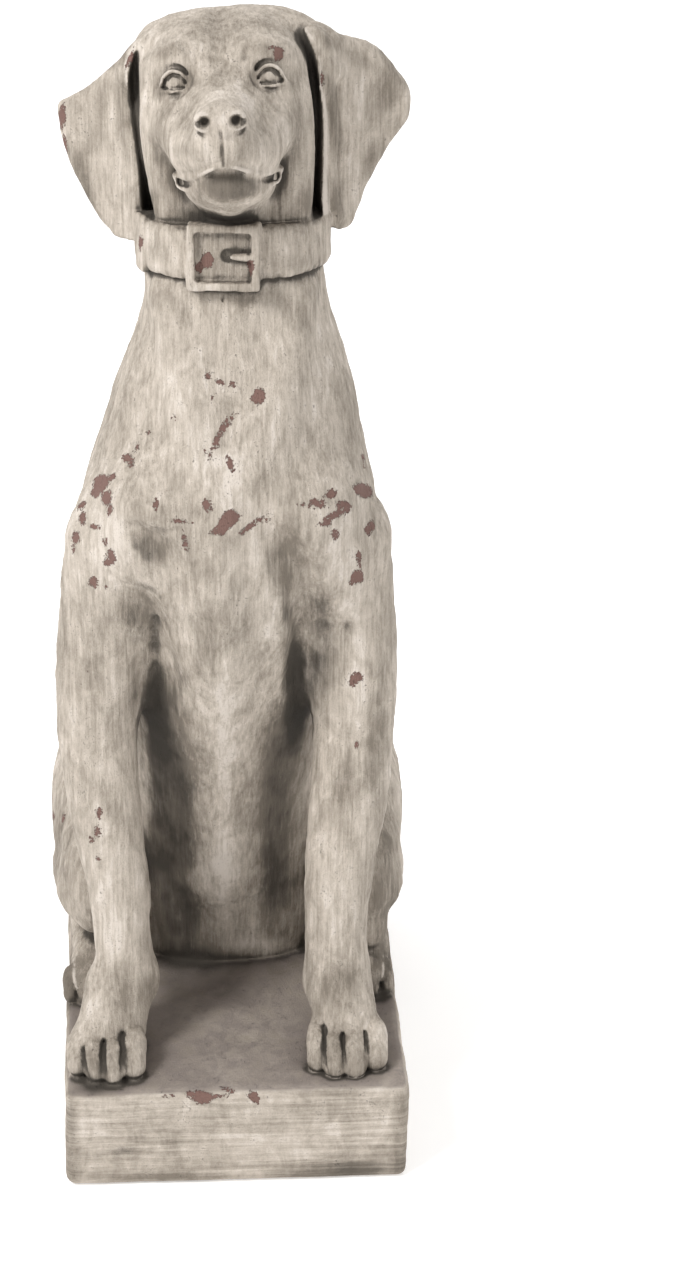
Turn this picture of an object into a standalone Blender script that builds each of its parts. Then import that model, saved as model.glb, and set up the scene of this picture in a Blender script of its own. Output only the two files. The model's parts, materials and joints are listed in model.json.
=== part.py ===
"""Seated hound statue for a garden or a hall: dog, buckled collar and plinth in one hollow casting.

The dog faces -Y, +Z is up and the origin is the centre of the plinth's underside.
"""
import math

import bmesh
import bpy
import numpy as np
from mathutils import Euler, Matrix, Vector
from mathutils.bvhtree import BVHTree

# Driving sizes, in metres
FIGURE_HEIGHT = 0.668
PLINTH_WIDTH = 0.220
PLINTH_DEPTH = 0.330
PLINTH_HEIGHT = 0.072
PLINTH_ROUNDING = 0.007
COLLAR_WIDTH = 0.031
COLLAR_THICKNESS = 0.0045
BUCKLE_WIDTH = 0.038
BUCKLE_HEIGHT = 0.038
BUCKLE_BAR = 0.0055
BUCKLE_RISE = 0.004

# The figure keeps its pose and proportions as shares of its own height. They are drawn on a grid on
# which it is 668 units tall and its feet stand at level 72.
GRID_HEIGHT = 668
GRID_FLOOR = 72
UNIT = FIGURE_HEIGHT / GRID_HEIGHT
STAND = (
    Matrix.Translation((0, 0, PLINTH_HEIGHT))
    @ Matrix.Scale(UNIT, 4)
    @ Matrix.Translation((0, 0, -GRID_FLOOR))
)
BODY = Matrix.Identity(4)
HEAD = Matrix.Translation((4, -46, 692)) @ Euler(
    (math.radians(-11), math.radians(-3), math.radians(-3.5))
).to_matrix().to_4x4()

# Working the clay, in grid units: the voxel that joins the lumps, and the final triangles
VOXEL = 2.5
FINE_SMOOTHING = 3
BROAD_SMOOTHING = 14
TRIANGLES = 6900
DETAIL_BIAS = 0.4

# The ellipse of the neck under the collar, on the grid, and the collar's tilt
NECK_X, NECK_Y = 3.5, -50
NECK_HALF_X, NECK_HALF_Y = 51.5, 52
COLLAR_LEVEL = 604.5
COLLAR_TILT = math.radians(-8)
BUCKLE_TURN = math.radians(-7)

FOREPAWS_X = (-81, 71)
HINDPAW_X = 94

# The eyes in the head's frame, and the lids as rows of across, up and radius from an eye's centre
EYE_X, EYE_Y, EYE_Z = 24, -41, 12
EYE_TURN = math.radians(18)
EYE_RADIUS = 10
UPPER_LID = [(-10.5, -2, 1.2), (-7, 4.5, 1.9), (0, 7.4, 2.2), (7, 5, 2), (11.5, -1.5, 1.3)]
LOWER_LID = [(-10.5, -2, 1.2), (-4.5, -5.8, 1.6), (3, -6.4, 1.7), (11.5, -1.5, 1.3)]

LEFT_EAR = [
    (-40, 734), (-52, 727), (-67, 708), (-82, 691), (-92, 681), (-99, 675), (-98, 664), (-95, 649),
    (-92, 639), (-86, 626), (-81, 617), (-74, 607), (-67, 601), (-62, 600), (-54, 603), (-52, 619),
    (-50, 635), (-51, 659), (-54, 676), (-55, 694), (-50, 712),
]
RIGHT_EAR = [
    (38, 744), (48, 738), (63, 727), (75, 718), (88, 708), (101, 695), (109, 684), (111, 675),
    (110, 665), (104, 656), (98, 648), (89, 635), (83, 626), (80, 616), (75, 604), (69, 603),
    (64, 606), (59, 620), (58, 634), (58, 658), (56, 683), (53, 702), (45, 724),
]

# Level, centre x, half width, front y, back y and squareness of the trunk and neck
TRUNK = [
    (66, -3, 74, -12, 138, 2.6), (110, -3, 76, -20, 142, 2.5), (160, -3, 76, -32, 140, 2.4),
    (220, -3, 72, -50, 128, 2.3), (280, -3, 68, -78, 112, 2.2), (330, -3, 74, -104, 98, 2.2),
    (380, -2, 82, -126, 82, 2.2), (425, -1, 85, -138, 66, 2.2), (465, 0, 81, -137, 49, 2.2),
    (500, 1, 72, -129, 32, 2.1), (530, 2, 62, -119, 18, 2.1), (560, 3.5, 54.5, -110, 7, 2.0),
    (600, 3.5, 51.5, -102, 2, 2.0), (640, 3, 48, -90, 4, 2.0), (668, 3, 42, -70, 6, 2.0),
]


def clear_scene():
    for old in list(bpy.data.objects):
        bpy.data.objects.remove(old, do_unlink=True)


def make_collection(name):
    collection = bpy.data.collections.new(name)
    bpy.context.scene.collection.children.link(collection)
    return collection


def add_object(name, data, collection):
    made = bpy.data.objects.new(name, data)
    collection.objects.link(made)
    return made


def evaluated_mesh(source):
    """The mesh of an object with its modifiers or bevel applied, with its caps welded."""
    graph = bpy.context.evaluated_depsgraph_get()
    mesh = bpy.data.meshes.new_from_object(source.evaluated_get(graph))
    welded = bmesh.new()
    welded.from_mesh(mesh)
    bmesh.ops.remove_doubles(welded, verts=welded.verts, dist=1e-6)
    welded.to_mesh(mesh)
    welded.free()
    return mesh


def smooth_rows(rows, steps):
    """A Catmull-Rom curve through rows of numbers."""
    p = [np.array(row, float) for row in rows]
    p = [2 * p[0] - p[1]] + p + [2 * p[-1] - p[-2]]
    out = []
    for a, b, c, d in zip(p, p[1:], p[2:], p[3:]):
        for t in np.arange(steps) / steps:
            bend = (2 * a - 5 * b + 4 * c - d) * t**2 + (3 * b - a - 3 * c + d) * t**3
            out.append(0.5 * (2 * b + (c - a) * t + bend))
    return np.array(out + [p[-2]])


class Clay:
    """Lumps of clay, each given on the grid in the frame of the body or of the head."""

    def __init__(self, work):
        self.work = work
        self.lumps = bmesh.new()
        sphere = bmesh.new()
        bmesh.ops.create_icosphere(sphere, subdivisions=4, radius=1)
        self.sphere = bpy.data.meshes.new("sphere")
        sphere.to_mesh(self.sphere)
        sphere.free()
        self.limbs = bpy.data.curves.new("limbs", "CURVE")
        self.limbs.dimensions = "3D"
        self.limbs.bevel_depth = 1
        self.limbs.bevel_resolution = 4
        self.limbs.use_fill_caps = True

    def ball(self, frame, at, size, turn=(0, 0, 0)):
        turned = Euler([math.radians(angle) for angle in turn]).to_matrix().to_4x4()
        place = STAND @ frame @ Matrix.Translation(at) @ turned @ Matrix.Diagonal((*size, 1))
        lump = self.sphere.copy()
        lump.transform(place)
        self.add_mesh(lump)

    def limb(self, frame, points):
        """A round limb through rows of x, y, z and radius, with a ball at each end."""
        rows = smooth_rows(points, 5)
        spline = self.limbs.splines.new("POLY")
        spline.points.add(len(rows) - 1)
        for point, row in zip(spline.points, rows):
            point.co = (*(STAND @ frame @ Vector(row[:3])), 1)
            point.radius = row[3] * UNIT
        for end in (points[0], points[-1]):
            self.ball(frame, end[:3], (end[3],) * 3)

    def loft(self, rows, sides=64):
        """Level sections of an upright form, joined ring by ring."""
        rings = []
        for level, centre, half, front, back, power in smooth_rows(rows, 6):
            ring = []
            for i in range(sides):
                c, s = math.cos(math.tau * i / sides), math.sin(math.tau * i / sides)
                x = centre + half * math.copysign(abs(c) ** (2 / power), c)
                y = (front + back) / 2 + (back - front) / 2 * math.copysign(abs(s) ** (2 / power), s)
                ring.append(self.lumps.verts.new(STAND @ Vector((x, y, level))))
            rings.append(ring)
        for low, high in zip(rings, rings[1:]):
            for i in range(sides):
                j = (i + 1) % sides
                self.lumps.faces.new((low[i], low[j], high[j], high[i]))
        self.lumps.faces.new(rings[0][::-1])
        self.lumps.faces.new(rings[-1])

    def add_mesh(self, mesh):
        self.lumps.from_mesh(mesh)
        bpy.data.meshes.remove(mesh)

    def joined(self):
        """All the lumps and limbs as one mesh of overlapping closed shells."""
        tubes = add_object("limbs", self.limbs, self.work)
        self.add_mesh(evaluated_mesh(tubes))
        bpy.data.objects.remove(tubes)
        mesh = bpy.data.meshes.new("clay")
        self.lumps.to_mesh(mesh)
        self.lumps.free()
        return mesh


def ear_depth(x, z):
    """The y of the middle of an ear: its front edge stands forward, its tip lies back."""
    out = abs(x - 3) - 46
    swell = math.sin(min(max(out, 0), 60) / 60 * math.pi)
    return -60 + 0.8 * out + 9 * swell + 14 * min(max((z - 690) / 50, 0), 1) ** 2


def ear(outline, work, thick=12):
    """A hanging ear: its outline cut through a bent sheet."""
    curve = bpy.data.curves.new("ear_outline", "CURVE")
    curve.dimensions = "2D"
    curve.fill_mode = "BOTH"
    curve.extrude = 60 * UNIT
    spline = curve.splines.new("POLY")
    rows = smooth_rows(outline + outline[:1], 3)[:-1]
    spline.points.add(len(rows) - 1)
    for point, (x, z) in zip(spline.points, rows):
        point.co = (x * UNIT, z * UNIT, 0, 1)
    spline.use_cyclic_u = True
    prism = add_object("ear_prism", curve, work)
    cutter = add_object("ear_cutter", evaluated_mesh(prism), work)
    bpy.data.objects.remove(prism)
    upright = Matrix.Rotation(math.radians(90), 4, "X")
    floor = Matrix.Translation((0, -30 * UNIT, PLINTH_HEIGHT - GRID_FLOOR * UNIT))
    cutter.data.transform(floor @ upright)

    xs, zs = [p[0] for p in outline], [p[1] for p in outline]
    low, high = Vector((min(xs) - 8, 0, min(zs) - 8)), Vector((max(xs) + 8, 0, max(zs) + 8))
    sheet = bmesh.new()
    bmesh.ops.create_grid(sheet, x_segments=20, y_segments=24, size=0.5)
    for vert in sheet.verts:
        x = low.x + (vert.co.x + 0.5) * (high.x - low.x)
        z = low.z + (vert.co.y + 0.5) * (high.z - low.z)
        vert.co = STAND @ Vector((x, ear_depth(x, z), z))
    mesh = bpy.data.meshes.new("ear")
    sheet.to_mesh(mesh)
    sheet.free()
    leaf = add_object("ear", mesh, work)
    solidify = leaf.modifiers.new("thickness", "SOLIDIFY")
    solidify.thickness = thick * UNIT
    solidify.offset = 0
    cut = leaf.modifiers.new("outline", "BOOLEAN")
    cut.operation = "INTERSECT"
    cut.object = cutter
    made = evaluated_mesh(leaf)
    bpy.data.objects.remove(leaf)
    bpy.data.objects.remove(cutter)
    return made


def add_trunk(clay):
    clay.loft(TRUNK)
    for s in (-1, 1):
        clay.ball(BODY, (s * 66, -62, 420), (31, 54, 62), (12, s * -6, 0))
        clay.ball(BODY, (s * 82, -60, 340), (26, 36, 54), (-16, 0, 0))
        clay.ball(BODY, (s * 46, -108, 436), (30, 27, 27), (0, 0, s * 14))


def add_forelegs(clay):
    left = [(-78, -76, 420, 28), (-85, -67, 345, 27.5), (-86, -72, 295, 25.5), (-81, -84, 240, 23)]
    left += [(-75, -94, 190, 20), (-73, -99, 150, 18.5), (-74, -103, 118, 19.5), (-79, -112, 92, 18)]
    right = [(76, -76, 420, 28), (80, -67, 345, 27.5), (79, -72, 295, 26), (74, -84, 240, 24.5)]
    right += [(68, -94, 190, 21.5), (66, -99, 150, 20), (67, -103, 118, 20.5), (70, -112, 92, 18)]
    for leg in (left, right):
        clay.limb(BODY, leg)
    for x in FOREPAWS_X:
        clay.ball(BODY, (x, -118, 80), (25, 24, 14))
        for across, back, r in ((-20, 8, 8.5), (-7.5, 0, 9.5), (7.5, 0, 9.5), (20, 8, 8.5)):
            root = (x + across * 0.55, -112, 100, 11)
            knuckle = (x + across, -136 + back, 91, r + 1)
            tip = (x + across * 1.08, -153 + back, 82, r - 0.5)
            clay.limb(BODY, [root, knuckle, tip])


def add_hindlegs(clay):
    for s in (-1, 1):
        clay.ball(BODY, (s * 81, 60, 160), (39, 80, 82), (-16, 0, s * 4))
        clay.ball(BODY, (s * 91, -10, 150), (27, 42, 48), (-14, 0, 0))
        clay.limb(BODY, [(s * 100, -16, 134, 20), (s * 103, 40, 118, 18), (s * 98, 104, 104, 16)])
        clay.ball(BODY, (s * 95, 116, 98), (15, 17, 24))
        clay.limb(BODY, [(s * 93, 112, 92, 16), (s * 94, 30, 88, 15), (s * 93, -30, 92, 15)])
        clay.ball(BODY, (s * 96, -34, 114), (15, 19, 18))
        for across, back in ((-15, 5), (-5, 0), (5, 0), (14, 6)):
            root = (s * HINDPAW_X + across * 0.6, -34, 96, 9)
            knuckle = (s * HINDPAW_X + across, -56 + back, 90, 8)
            tip = (s * HINDPAW_X + across * 1.05, -71 + back, 80, 7)
            clay.limb(BODY, [root, knuckle, tip])


def add_tail(clay):
    path = [(0, 132, 122, 18), (12, 147, 98, 15), (48, 149, 86, 12.5), (84, 139, 83, 10)]
    clay.limb(BODY, path + [(100, 108, 81, 7.5)])


def add_head(clay):
    clay.ball(BODY, (3, -24, 664), (41, 36, 36))
    clay.ball(HEAD, (0, 6, 10), (45, 54, 38))
    clay.limb(HEAD, [(0, -28, -2, 25), (0, -62, -7, 22), (0, -90, -9, 18)])
    clay.limb(HEAD, [(0, -86, -41, 13), (0, -60, -45, 20), (0, -26, -44, 28)])
    clay.ball(HEAD, (0, -99, -2), (15.5, 11, 12), (-12, 0, 0))
    for s in (-1, 1):
        clay.ball(HEAD, (s * 18, 4, 18), (27, 46, 29))
        clay.ball(HEAD, (s * 15, -20, 15), (27, 26, 24))
        clay.limb(HEAD, [(s * 38, 16, 26, 20), (s * 43, 17, -24, 19), (s * 42, 10, -72, 15)])
        clay.ball(HEAD, (s * 25, -12, -26), (20, 34, 44))
        clay.ball(HEAD, (s * 20, -38, 20), (16, 11, 10), (0, s * 12, 0))
        clay.ball(HEAD, (s * 23, -36, -12), (17, 24, 18))
        lip = [(s * 6, -91, -19, 14), (s * 14, -77, -23, 18), (s * 20, -54, -28, 18)]
        clay.limb(HEAD, lip + [(s * 25, -34, -32, 16)])
        clay.limb(HEAD, [(s * 9, -84, -42, 12), (s * 18, -62, -46, 15), (s * 24, -30, -46, 17)])


def work_clay(mesh, work):
    """Join the lumps with a voxel remesh and smooth the seams between them, the trunk's the most."""
    lump = add_object("lump", mesh, work)
    remesh = lump.modifiers.new("join", "REMESH")
    remesh.mode = "VOXEL"
    remesh.voxel_size = VOXEL * UNIT
    joined = add_object("joined", evaluated_mesh(lump), work)
    points = in_frame(read_points(joined.data), BODY)
    broad = np.clip((590 - points[:, 2]) / 40, 0, 1) * np.clip((points[:, 2] - 100) / 30, 0, 1)
    set_group(joined, "broad", broad)
    for group, iterations in (("", FINE_SMOOTHING), ("broad", BROAD_SMOOTHING)):
        smooth = joined.modifiers.new("smooth", "SMOOTH")
        smooth.factor = 0.5
        smooth.iterations = iterations
        smooth.vertex_group = group
    made = evaluated_mesh(joined)
    bpy.data.objects.remove(lump)
    bpy.data.objects.remove(joined)
    return made


def set_group(target, name, weights):
    """A vertex group with a weight for each vertex, in twenty even steps."""
    group = target.vertex_groups.new(name=name)
    steps = np.round(weights * 20).astype(int)
    for step in range(1, 21):
        group.add(np.flatnonzero(steps == step).tolist(), step / 20, "REPLACE")
    return group


def read_points(mesh):
    points = np.empty(len(mesh.vertices) * 3, np.float32)
    mesh.vertices.foreach_get("co", points)
    return points.reshape(-1, 3)


def read_normals(mesh):
    normals = np.empty(len(mesh.vertices) * 3, np.float32)
    mesh.vertices.foreach_get("normal", normals)
    return normals.reshape(-1, 3)


def in_frame(points, frame):
    """Points in metres to the grid units of the body's or the head's frame."""
    back = np.array((STAND @ frame).inverted())
    return points @ back[:3, :3].T + back[:3, 3]


def press(mesh, frame, path, width, depth):
    """Press a groove into the front of the form, along a path of x and z in the frame.

    A row of the path may add the y that the groove reaches back to; a negative depth is a ridge.
    """
    points, normals = read_points(mesh), read_normals(mesh)
    local = in_frame(points, frame)
    rows = smooth_rows(path, 5)
    best = np.full(len(local), np.inf)
    for x, z, reach in rows:
        off = (local[:, 0] - x) ** 2 + (local[:, 2] - z) ** 2
        best = np.where(local[:, 1] < reach, np.minimum(best, off), best)
    fade = np.clip(1 - best / width**2, 0, 1) ** 2
    points -= normals * (fade * depth * UNIT)[:, None]
    mesh.vertices.foreach_set("co", points.ravel())
    mesh.update()


def press_brow(mesh):
    """The furrow of the forehead."""
    press(mesh, HEAD, [(0, 22, -10), (0, 34, -10), (0, 44, -10)], 9, 3)


def press_toes(mesh):
    """The grooves between the toes."""
    for x in FOREPAWS_X:
        for across in (-15, 0, 15):
            groove = [(x + across, 72, -125), (x + across, 88, -125), (x + across * 0.6, 102, -110)]
            press(mesh, BODY, groove, 4.5, 2)
    for x in (-HINDPAW_X, HINDPAW_X):
        for across in (-10, 0, 10):
            groove = [(x + across, 72, -50), (x + across, 86, -50), (x + across * 0.7, 98, -35)]
            press(mesh, BODY, groove, 4, 1.5)


def detail_weight(mesh):
    """How finely each vertex is kept: 1 on the face, less on the paws, ears and trunk."""
    points = read_points(mesh)
    face = in_frame(points, HEAD)
    grid = in_frame(points, BODY)
    front = np.clip((20 - face[:, 1]) / 40, 0, 1) * np.clip((face[:, 2] + 75) / 20, 0, 1)
    front *= np.clip((60 - abs(face[:, 0])) / 10, 0, 1)
    paws = np.clip((135 - grid[:, 2]) / 20, 0, 1) * np.clip((-grid[:, 1] - 20) / 20, 0, 1) * 0.7
    tail = np.clip((140 - grid[:, 2]) / 20, 0, 1) * np.clip((grid[:, 1] - 100) / 20, 0, 1) * 0.5
    head = np.clip((grid[:, 2] - 590) / 20, 0, 1) * 0.4
    return np.maximum.reduce([front, paws, tail, head])


def thin_out(mesh, work):
    """Reduce the mesh to the final triangles, keeping more of them on the face and paws."""
    figure = add_object("figure", mesh, work)
    group = set_group(figure, "plain", 1 - 0.9 * detail_weight(mesh))
    decimate = figure.modifiers.new("triangles", "DECIMATE")
    decimate.ratio = TRIANGLES / (2 * len(mesh.polygons))
    decimate.vertex_group = group.name
    decimate.vertex_group_factor = DETAIL_BIAS
    made = evaluated_mesh(figure)
    bpy.data.objects.remove(figure)
    return made


def make_plinth(cutters):
    bm = bmesh.new()
    size = Matrix.Diagonal((PLINTH_WIDTH, PLINTH_DEPTH, PLINTH_HEIGHT, 1))
    bmesh.ops.create_cube(bm, size=1, matrix=Matrix.Translation((0, 0, PLINTH_HEIGHT / 2)) @ size)
    mesh = bpy.data.meshes.new("plinth")
    bm.to_mesh(mesh)
    bm.free()
    plinth = add_object("plinth", mesh, cutters)
    bevel = plinth.modifiers.new("rounding", "BEVEL")
    bevel.width = PLINTH_ROUNDING
    bevel.segments = 3
    return plinth


def make_collar(cutters):
    """A disc around the neck, as wide as the strap, of which only the rim shows."""
    half_x = NECK_HALF_X * UNIT + COLLAR_THICKNESS
    half_y = NECK_HALF_Y * UNIT + COLLAR_THICKNESS
    bm = bmesh.new()
    bmesh.ops.create_cone(
        bm, cap_ends=True, segments=48, radius1=1, radius2=1, depth=COLLAR_WIDTH,
        matrix=Matrix.Diagonal((half_x, half_y, 1, 1)),
    )
    mesh = bpy.data.meshes.new("collar")
    bm.to_mesh(mesh)
    bm.free()
    collar = add_object("collar", mesh, cutters)
    collar.location = STAND @ Vector((NECK_X, NECK_Y, COLLAR_LEVEL))
    collar.rotation_euler.x = COLLAR_TILT
    bevel = collar.modifiers.new("edge", "BEVEL")
    bevel.width = COLLAR_THICKNESS / 3
    bevel.segments = 1
    bevel.limit_method = "ANGLE"
    return collar


def ball_piece(name, cutters, place, size, sides=20):
    """An ellipsoid for a Boolean, its half sizes in grid units."""
    bm = bmesh.new()
    scale = STAND @ place @ Matrix.Diagonal((*size, 1))
    bmesh.ops.create_uvsphere(bm, u_segments=sides, v_segments=sides // 2, radius=1, matrix=scale)
    mesh = bpy.data.meshes.new(name)
    bm.to_mesh(mesh)
    bm.free()
    return add_object(name, mesh, cutters)


def tube_piece(name, cutters, place, points, sides=2):
    """A tapering round bar for a Boolean, through rows of x, y, z and radius in the frame of place."""
    curve = bpy.data.curves.new(name, "CURVE")
    curve.dimensions = "3D"
    curve.bevel_depth = 1
    curve.bevel_resolution = sides
    curve.use_fill_caps = True
    rows = smooth_rows(points, 3)
    spline = curve.splines.new("POLY")
    spline.points.add(len(rows) - 1)
    for point, row in zip(spline.points, rows):
        point.co = (*(STAND @ place @ Vector(row[:3])), 1)
        point.radius = row[3] * UNIT
    bar = add_object(name + "_line", curve, cutters)
    made = add_object(name, evaluated_mesh(bar), cutters)
    bpy.data.objects.remove(bar)
    return made


def on_surface(tree, path):
    """Rows of x, z and radius in the head's frame, laid on the face from the front."""
    rows = []
    ahead = (STAND @ HEAD).to_3x3() @ Vector((0, 1, 0))
    for x, z, radius in path:
        hit = tree.ray_cast(STAND @ HEAD @ Vector((x, -200, z)), ahead.normalized())[0]
        local = (STAND @ HEAD).inverted() @ hit
        rows.append((local.x, local.y, local.z, radius))
    return rows


def carve_face(statue, cutters):
    """The eyes with their lids, the nostrils, the line under the nose and the mouth."""
    tree = BVHTree.FromPolygons([v.co for v in statue.vertices], [p.vertices for p in statue.polygons])
    steps = []
    for s, side in ((-1, "left"), (1, "right")):
        eye = HEAD @ Matrix.Translation((s * EYE_X, EYE_Y, EYE_Z)) @ Matrix.Rotation(s * EYE_TURN, 4, "Z")
        socket = ball_piece("eye_socket_" + side, cutters, eye @ Matrix.Translation((0, -9, 0)), (12, 7, 9))
        steps.append(("DIFFERENCE", socket))
        steps.append(("UNION", ball_piece("eyeball_" + side, cutters, eye, (EYE_RADIUS,) * 3)))
        for name, rows in (("upper_lid_", UPPER_LID), ("lower_lid_", LOWER_LID)):
            lid = [(s * u, -lid_depth(u, w), w, r) for u, w, r in rows]
            steps.append(("UNION", tube_piece(name + side, cutters, eye, lid)))
        at = HEAD @ Matrix.Translation((s * 8, -110, -4))
        steps.append(("DIFFERENCE", ball_piece("nostril_" + side, cutters, at, (3.6, 6, 3.2), 12)))
    mouth = [(-34, -47, 1.6), (-28, -43, 2), (-16, -38, 2.2), (0, -32, 2.4)]
    mouth += [(-x, z, r) for x, z, r in mouth[-2::-1]]
    steps.append(("DIFFERENCE", tube_piece("mouth", cutters, HEAD, on_surface(tree, mouth))))
    philtrum = [(0, -15, 1), (0, -22, 1.3), (0, -29, 1.6)]
    steps.append(("DIFFERENCE", tube_piece("philtrum", cutters, HEAD, on_surface(tree, philtrum))))
    return steps


def lid_depth(across, up):
    """How far a lid stands in front of the eye's centre, riding on the eyeball."""
    return math.sqrt(max((EYE_RADIUS + 0.4) ** 2 - across**2 - up**2, 4))


def box_mesh(name, size, at):
    bm = bmesh.new()
    bmesh.ops.create_cube(bm, size=1, matrix=Matrix.Translation(at) @ Matrix.Diagonal((*size, 1)))
    mesh = bpy.data.meshes.new(name)
    bm.to_mesh(mesh)
    bm.free()
    return mesh


def make_buckle(cutters, collar):
    """A square frame and its prong, proud of the strap at the front of the collar."""
    reach = NECK_HALF_Y * UNIT + COLLAR_THICKNESS
    root = 2 * BUCKLE_BAR
    thick = BUCKLE_RISE + root
    drop = (BUCKLE_HEIGHT - COLLAR_WIDTH) / 2
    at = Vector((0, -reach + root - thick / 2, -drop))
    place = collar.matrix_basis @ Matrix.Rotation(BUCKLE_TURN, 4, "Z")
    frame = add_object("buckle", box_mesh("buckle", (BUCKLE_WIDTH, thick, BUCKLE_HEIGHT), at), cutters)
    hole_size = (BUCKLE_WIDTH - 2 * BUCKLE_BAR, 2 * thick, BUCKLE_HEIGHT - 2 * BUCKLE_BAR)
    hole = add_object("buckle_window", box_mesh("buckle_window", hole_size, at), cutters)
    cut = frame.modifiers.new("window", "BOOLEAN")
    cut.operation = "DIFFERENCE"
    cut.object = hole
    bevel = frame.modifiers.new("edge", "BEVEL")
    bevel.width = BUCKLE_BAR / 4
    bevel.segments = 1
    prong_size = (BUCKLE_WIDTH - BUCKLE_BAR, thick, BUCKLE_BAR * 0.8)
    prong_at = at + Vector((0, BUCKLE_RISE * 0.4, 0))
    prong = add_object("buckle_prong", box_mesh("buckle_prong", prong_size, prong_at), cutters)
    for made in (frame, hole, prong):
        made.matrix_world = place
    return frame, prong


def make_material():
    material = bpy.data.materials.new("aged_cast_stone")
    material.use_nodes = True
    shader = material.node_tree.nodes["Principled BSDF"]
    shader.inputs["Base Color"].default_value = (0.40, 0.36, 0.32, 1)
    shader.inputs["Roughness"].default_value = 0.8
    shader.inputs["Metallic"].default_value = 0.0
    return material


def main():
    clear_scene()
    parts = make_collection("seated_hound_statue")
    cutters = make_collection("cutters")
    clay = Clay(cutters)
    add_trunk(clay)
    add_forelegs(clay)
    add_hindlegs(clay)
    add_tail(clay)
    add_head(clay)
    for outline in (LEFT_EAR, RIGHT_EAR):
        clay.add_mesh(ear(outline, cutters))
    figure = work_clay(clay.joined(), cutters)
    press_brow(figure)
    press_toes(figure)
    figure = thin_out(figure, cutters)

    statue = add_object("dog_statue", figure, parts)
    collar = make_collar(cutters)
    steps = [("UNION", make_plinth(cutters)), ("UNION", collar)]
    steps += [("UNION", piece) for piece in make_buckle(cutters, collar)]
    steps += carve_face(figure, cutters)
    for operation, piece in steps:
        step = statue.modifiers.new(piece.name, "BOOLEAN")
        step.operation = operation
        step.object = piece
        if piece is collar:
            step.solver = "MANIFOLD"
    for piece in cutters.objects:
        piece.hide_render = True
        piece.display_type = "WIRE"
    statue.data.shade_smooth()
    statue.data.set_sharp_from_angle(angle=math.radians(40))
    statue.data.materials.append(make_material())


main()
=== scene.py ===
"""The looks of the seated hound statue: one cast skin of dog, collar and plinth, and its aged paint.

The form is worked in clay: lumps, limbs and cuts in millimetres, melted together in a distance field
and meshed. The paint is one procedural finish of pale grey over dark stain over terracotta, with
painted shade in creases and hollows and a painted highlight on edges.
"""
import itertools
import json
import math

import bpy
import numpy as np
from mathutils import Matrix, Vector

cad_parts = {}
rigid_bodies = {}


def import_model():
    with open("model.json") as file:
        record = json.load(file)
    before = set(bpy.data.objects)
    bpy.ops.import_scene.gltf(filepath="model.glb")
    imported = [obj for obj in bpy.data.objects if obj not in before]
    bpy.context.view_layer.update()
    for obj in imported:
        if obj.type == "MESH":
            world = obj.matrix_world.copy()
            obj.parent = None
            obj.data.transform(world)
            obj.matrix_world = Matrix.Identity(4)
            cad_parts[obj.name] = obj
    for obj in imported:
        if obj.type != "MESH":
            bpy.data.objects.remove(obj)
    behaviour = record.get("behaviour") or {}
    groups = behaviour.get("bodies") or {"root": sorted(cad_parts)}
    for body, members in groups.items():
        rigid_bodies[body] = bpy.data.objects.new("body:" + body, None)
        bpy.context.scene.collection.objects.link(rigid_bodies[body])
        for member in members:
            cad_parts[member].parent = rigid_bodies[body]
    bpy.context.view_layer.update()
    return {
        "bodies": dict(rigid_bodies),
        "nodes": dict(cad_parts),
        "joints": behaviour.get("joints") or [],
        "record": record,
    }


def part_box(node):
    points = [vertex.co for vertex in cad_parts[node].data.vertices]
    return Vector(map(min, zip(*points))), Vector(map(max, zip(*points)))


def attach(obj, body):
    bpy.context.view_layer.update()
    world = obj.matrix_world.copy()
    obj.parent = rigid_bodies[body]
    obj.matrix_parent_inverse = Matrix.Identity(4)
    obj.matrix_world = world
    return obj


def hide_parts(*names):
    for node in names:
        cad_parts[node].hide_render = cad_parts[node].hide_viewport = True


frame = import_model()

import openvdb
from mathutils import Euler, Matrix, Vector
from mathutils.bvhtree import BVHTree

NODE = "dog_statue"
LOW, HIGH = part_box(NODE)

# The clay's unit: about a millimetre, fitted to the height of the solid
FIGURE_TOP = 742.5
UNIT = (HIGH[2] - LOW[2]) / FIGURE_TOP
UNITS_PER_METRE = 1000
PLINTH_TOP = 72
PLINTH_HALF = (110, 165)

# The size of the clay's cells, the triangles that a piece is thinned to, and the distance that
# empty clay holds
BODY_CELL = 1.5
HEAD_CELL = 1.05
TRIANGLES = 196000
FAR = 60

# The photograph's camera: its frame in pixels, focal length in pixels, place and turns
PHOTO_WIDTH, PHOTO_HEIGHT = 679, 1285
PHOTO_FOCAL = 3212.5
SENSOR = 36
CAMERA_AT = Vector((-0.0424, -1.8522, 1.2593))
CAMERA_YAW, CAMERA_PITCH, CAMERA_ROLL = 3.549, 27.178, -0.606

# Where the middle of the head is, and how it is turned
HEAD_AT = Vector((0.4, -46, 692))
HEAD_TURN = (-11, -4, -2.7)


# Shapes of the clay. Each gives its signed distance in units, negative inside.


def smooth_min(a, b, blend):
    """The smaller of two distances, rounded where they cross."""
    if blend <= 0:
        return np.minimum(a, b)
    h = np.clip(0.5 + 0.5 * (b - a) / blend, 0, 1)
    return b * (1 - h) + a * h - blend * h * (1 - h)


def smooth_max(a, b, blend):
    return -smooth_min(-a, -b, blend)


def smooth_rows(rows, steps):
    """A Catmull-Rom curve through rows of numbers."""
    p = [np.array(row, float) for row in rows]
    p = [2 * p[0] - p[1]] + p + [2 * p[-1] - p[-2]]
    out = []
    for a, b, c, d in zip(p, p[1:], p[2:], p[3:]):
        for t in np.arange(steps) / steps:
            bend = (2 * a - 5 * b + 4 * c - d) * t**2 + (3 * b - a - 3 * c + d) * t**3
            out.append(0.5 * (2 * b + (c - a) * t + bend))
    return np.array(out + [p[-2]])


def turn_matrix(degrees):
    return Euler([math.radians(angle) for angle in degrees]).to_matrix()


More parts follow.
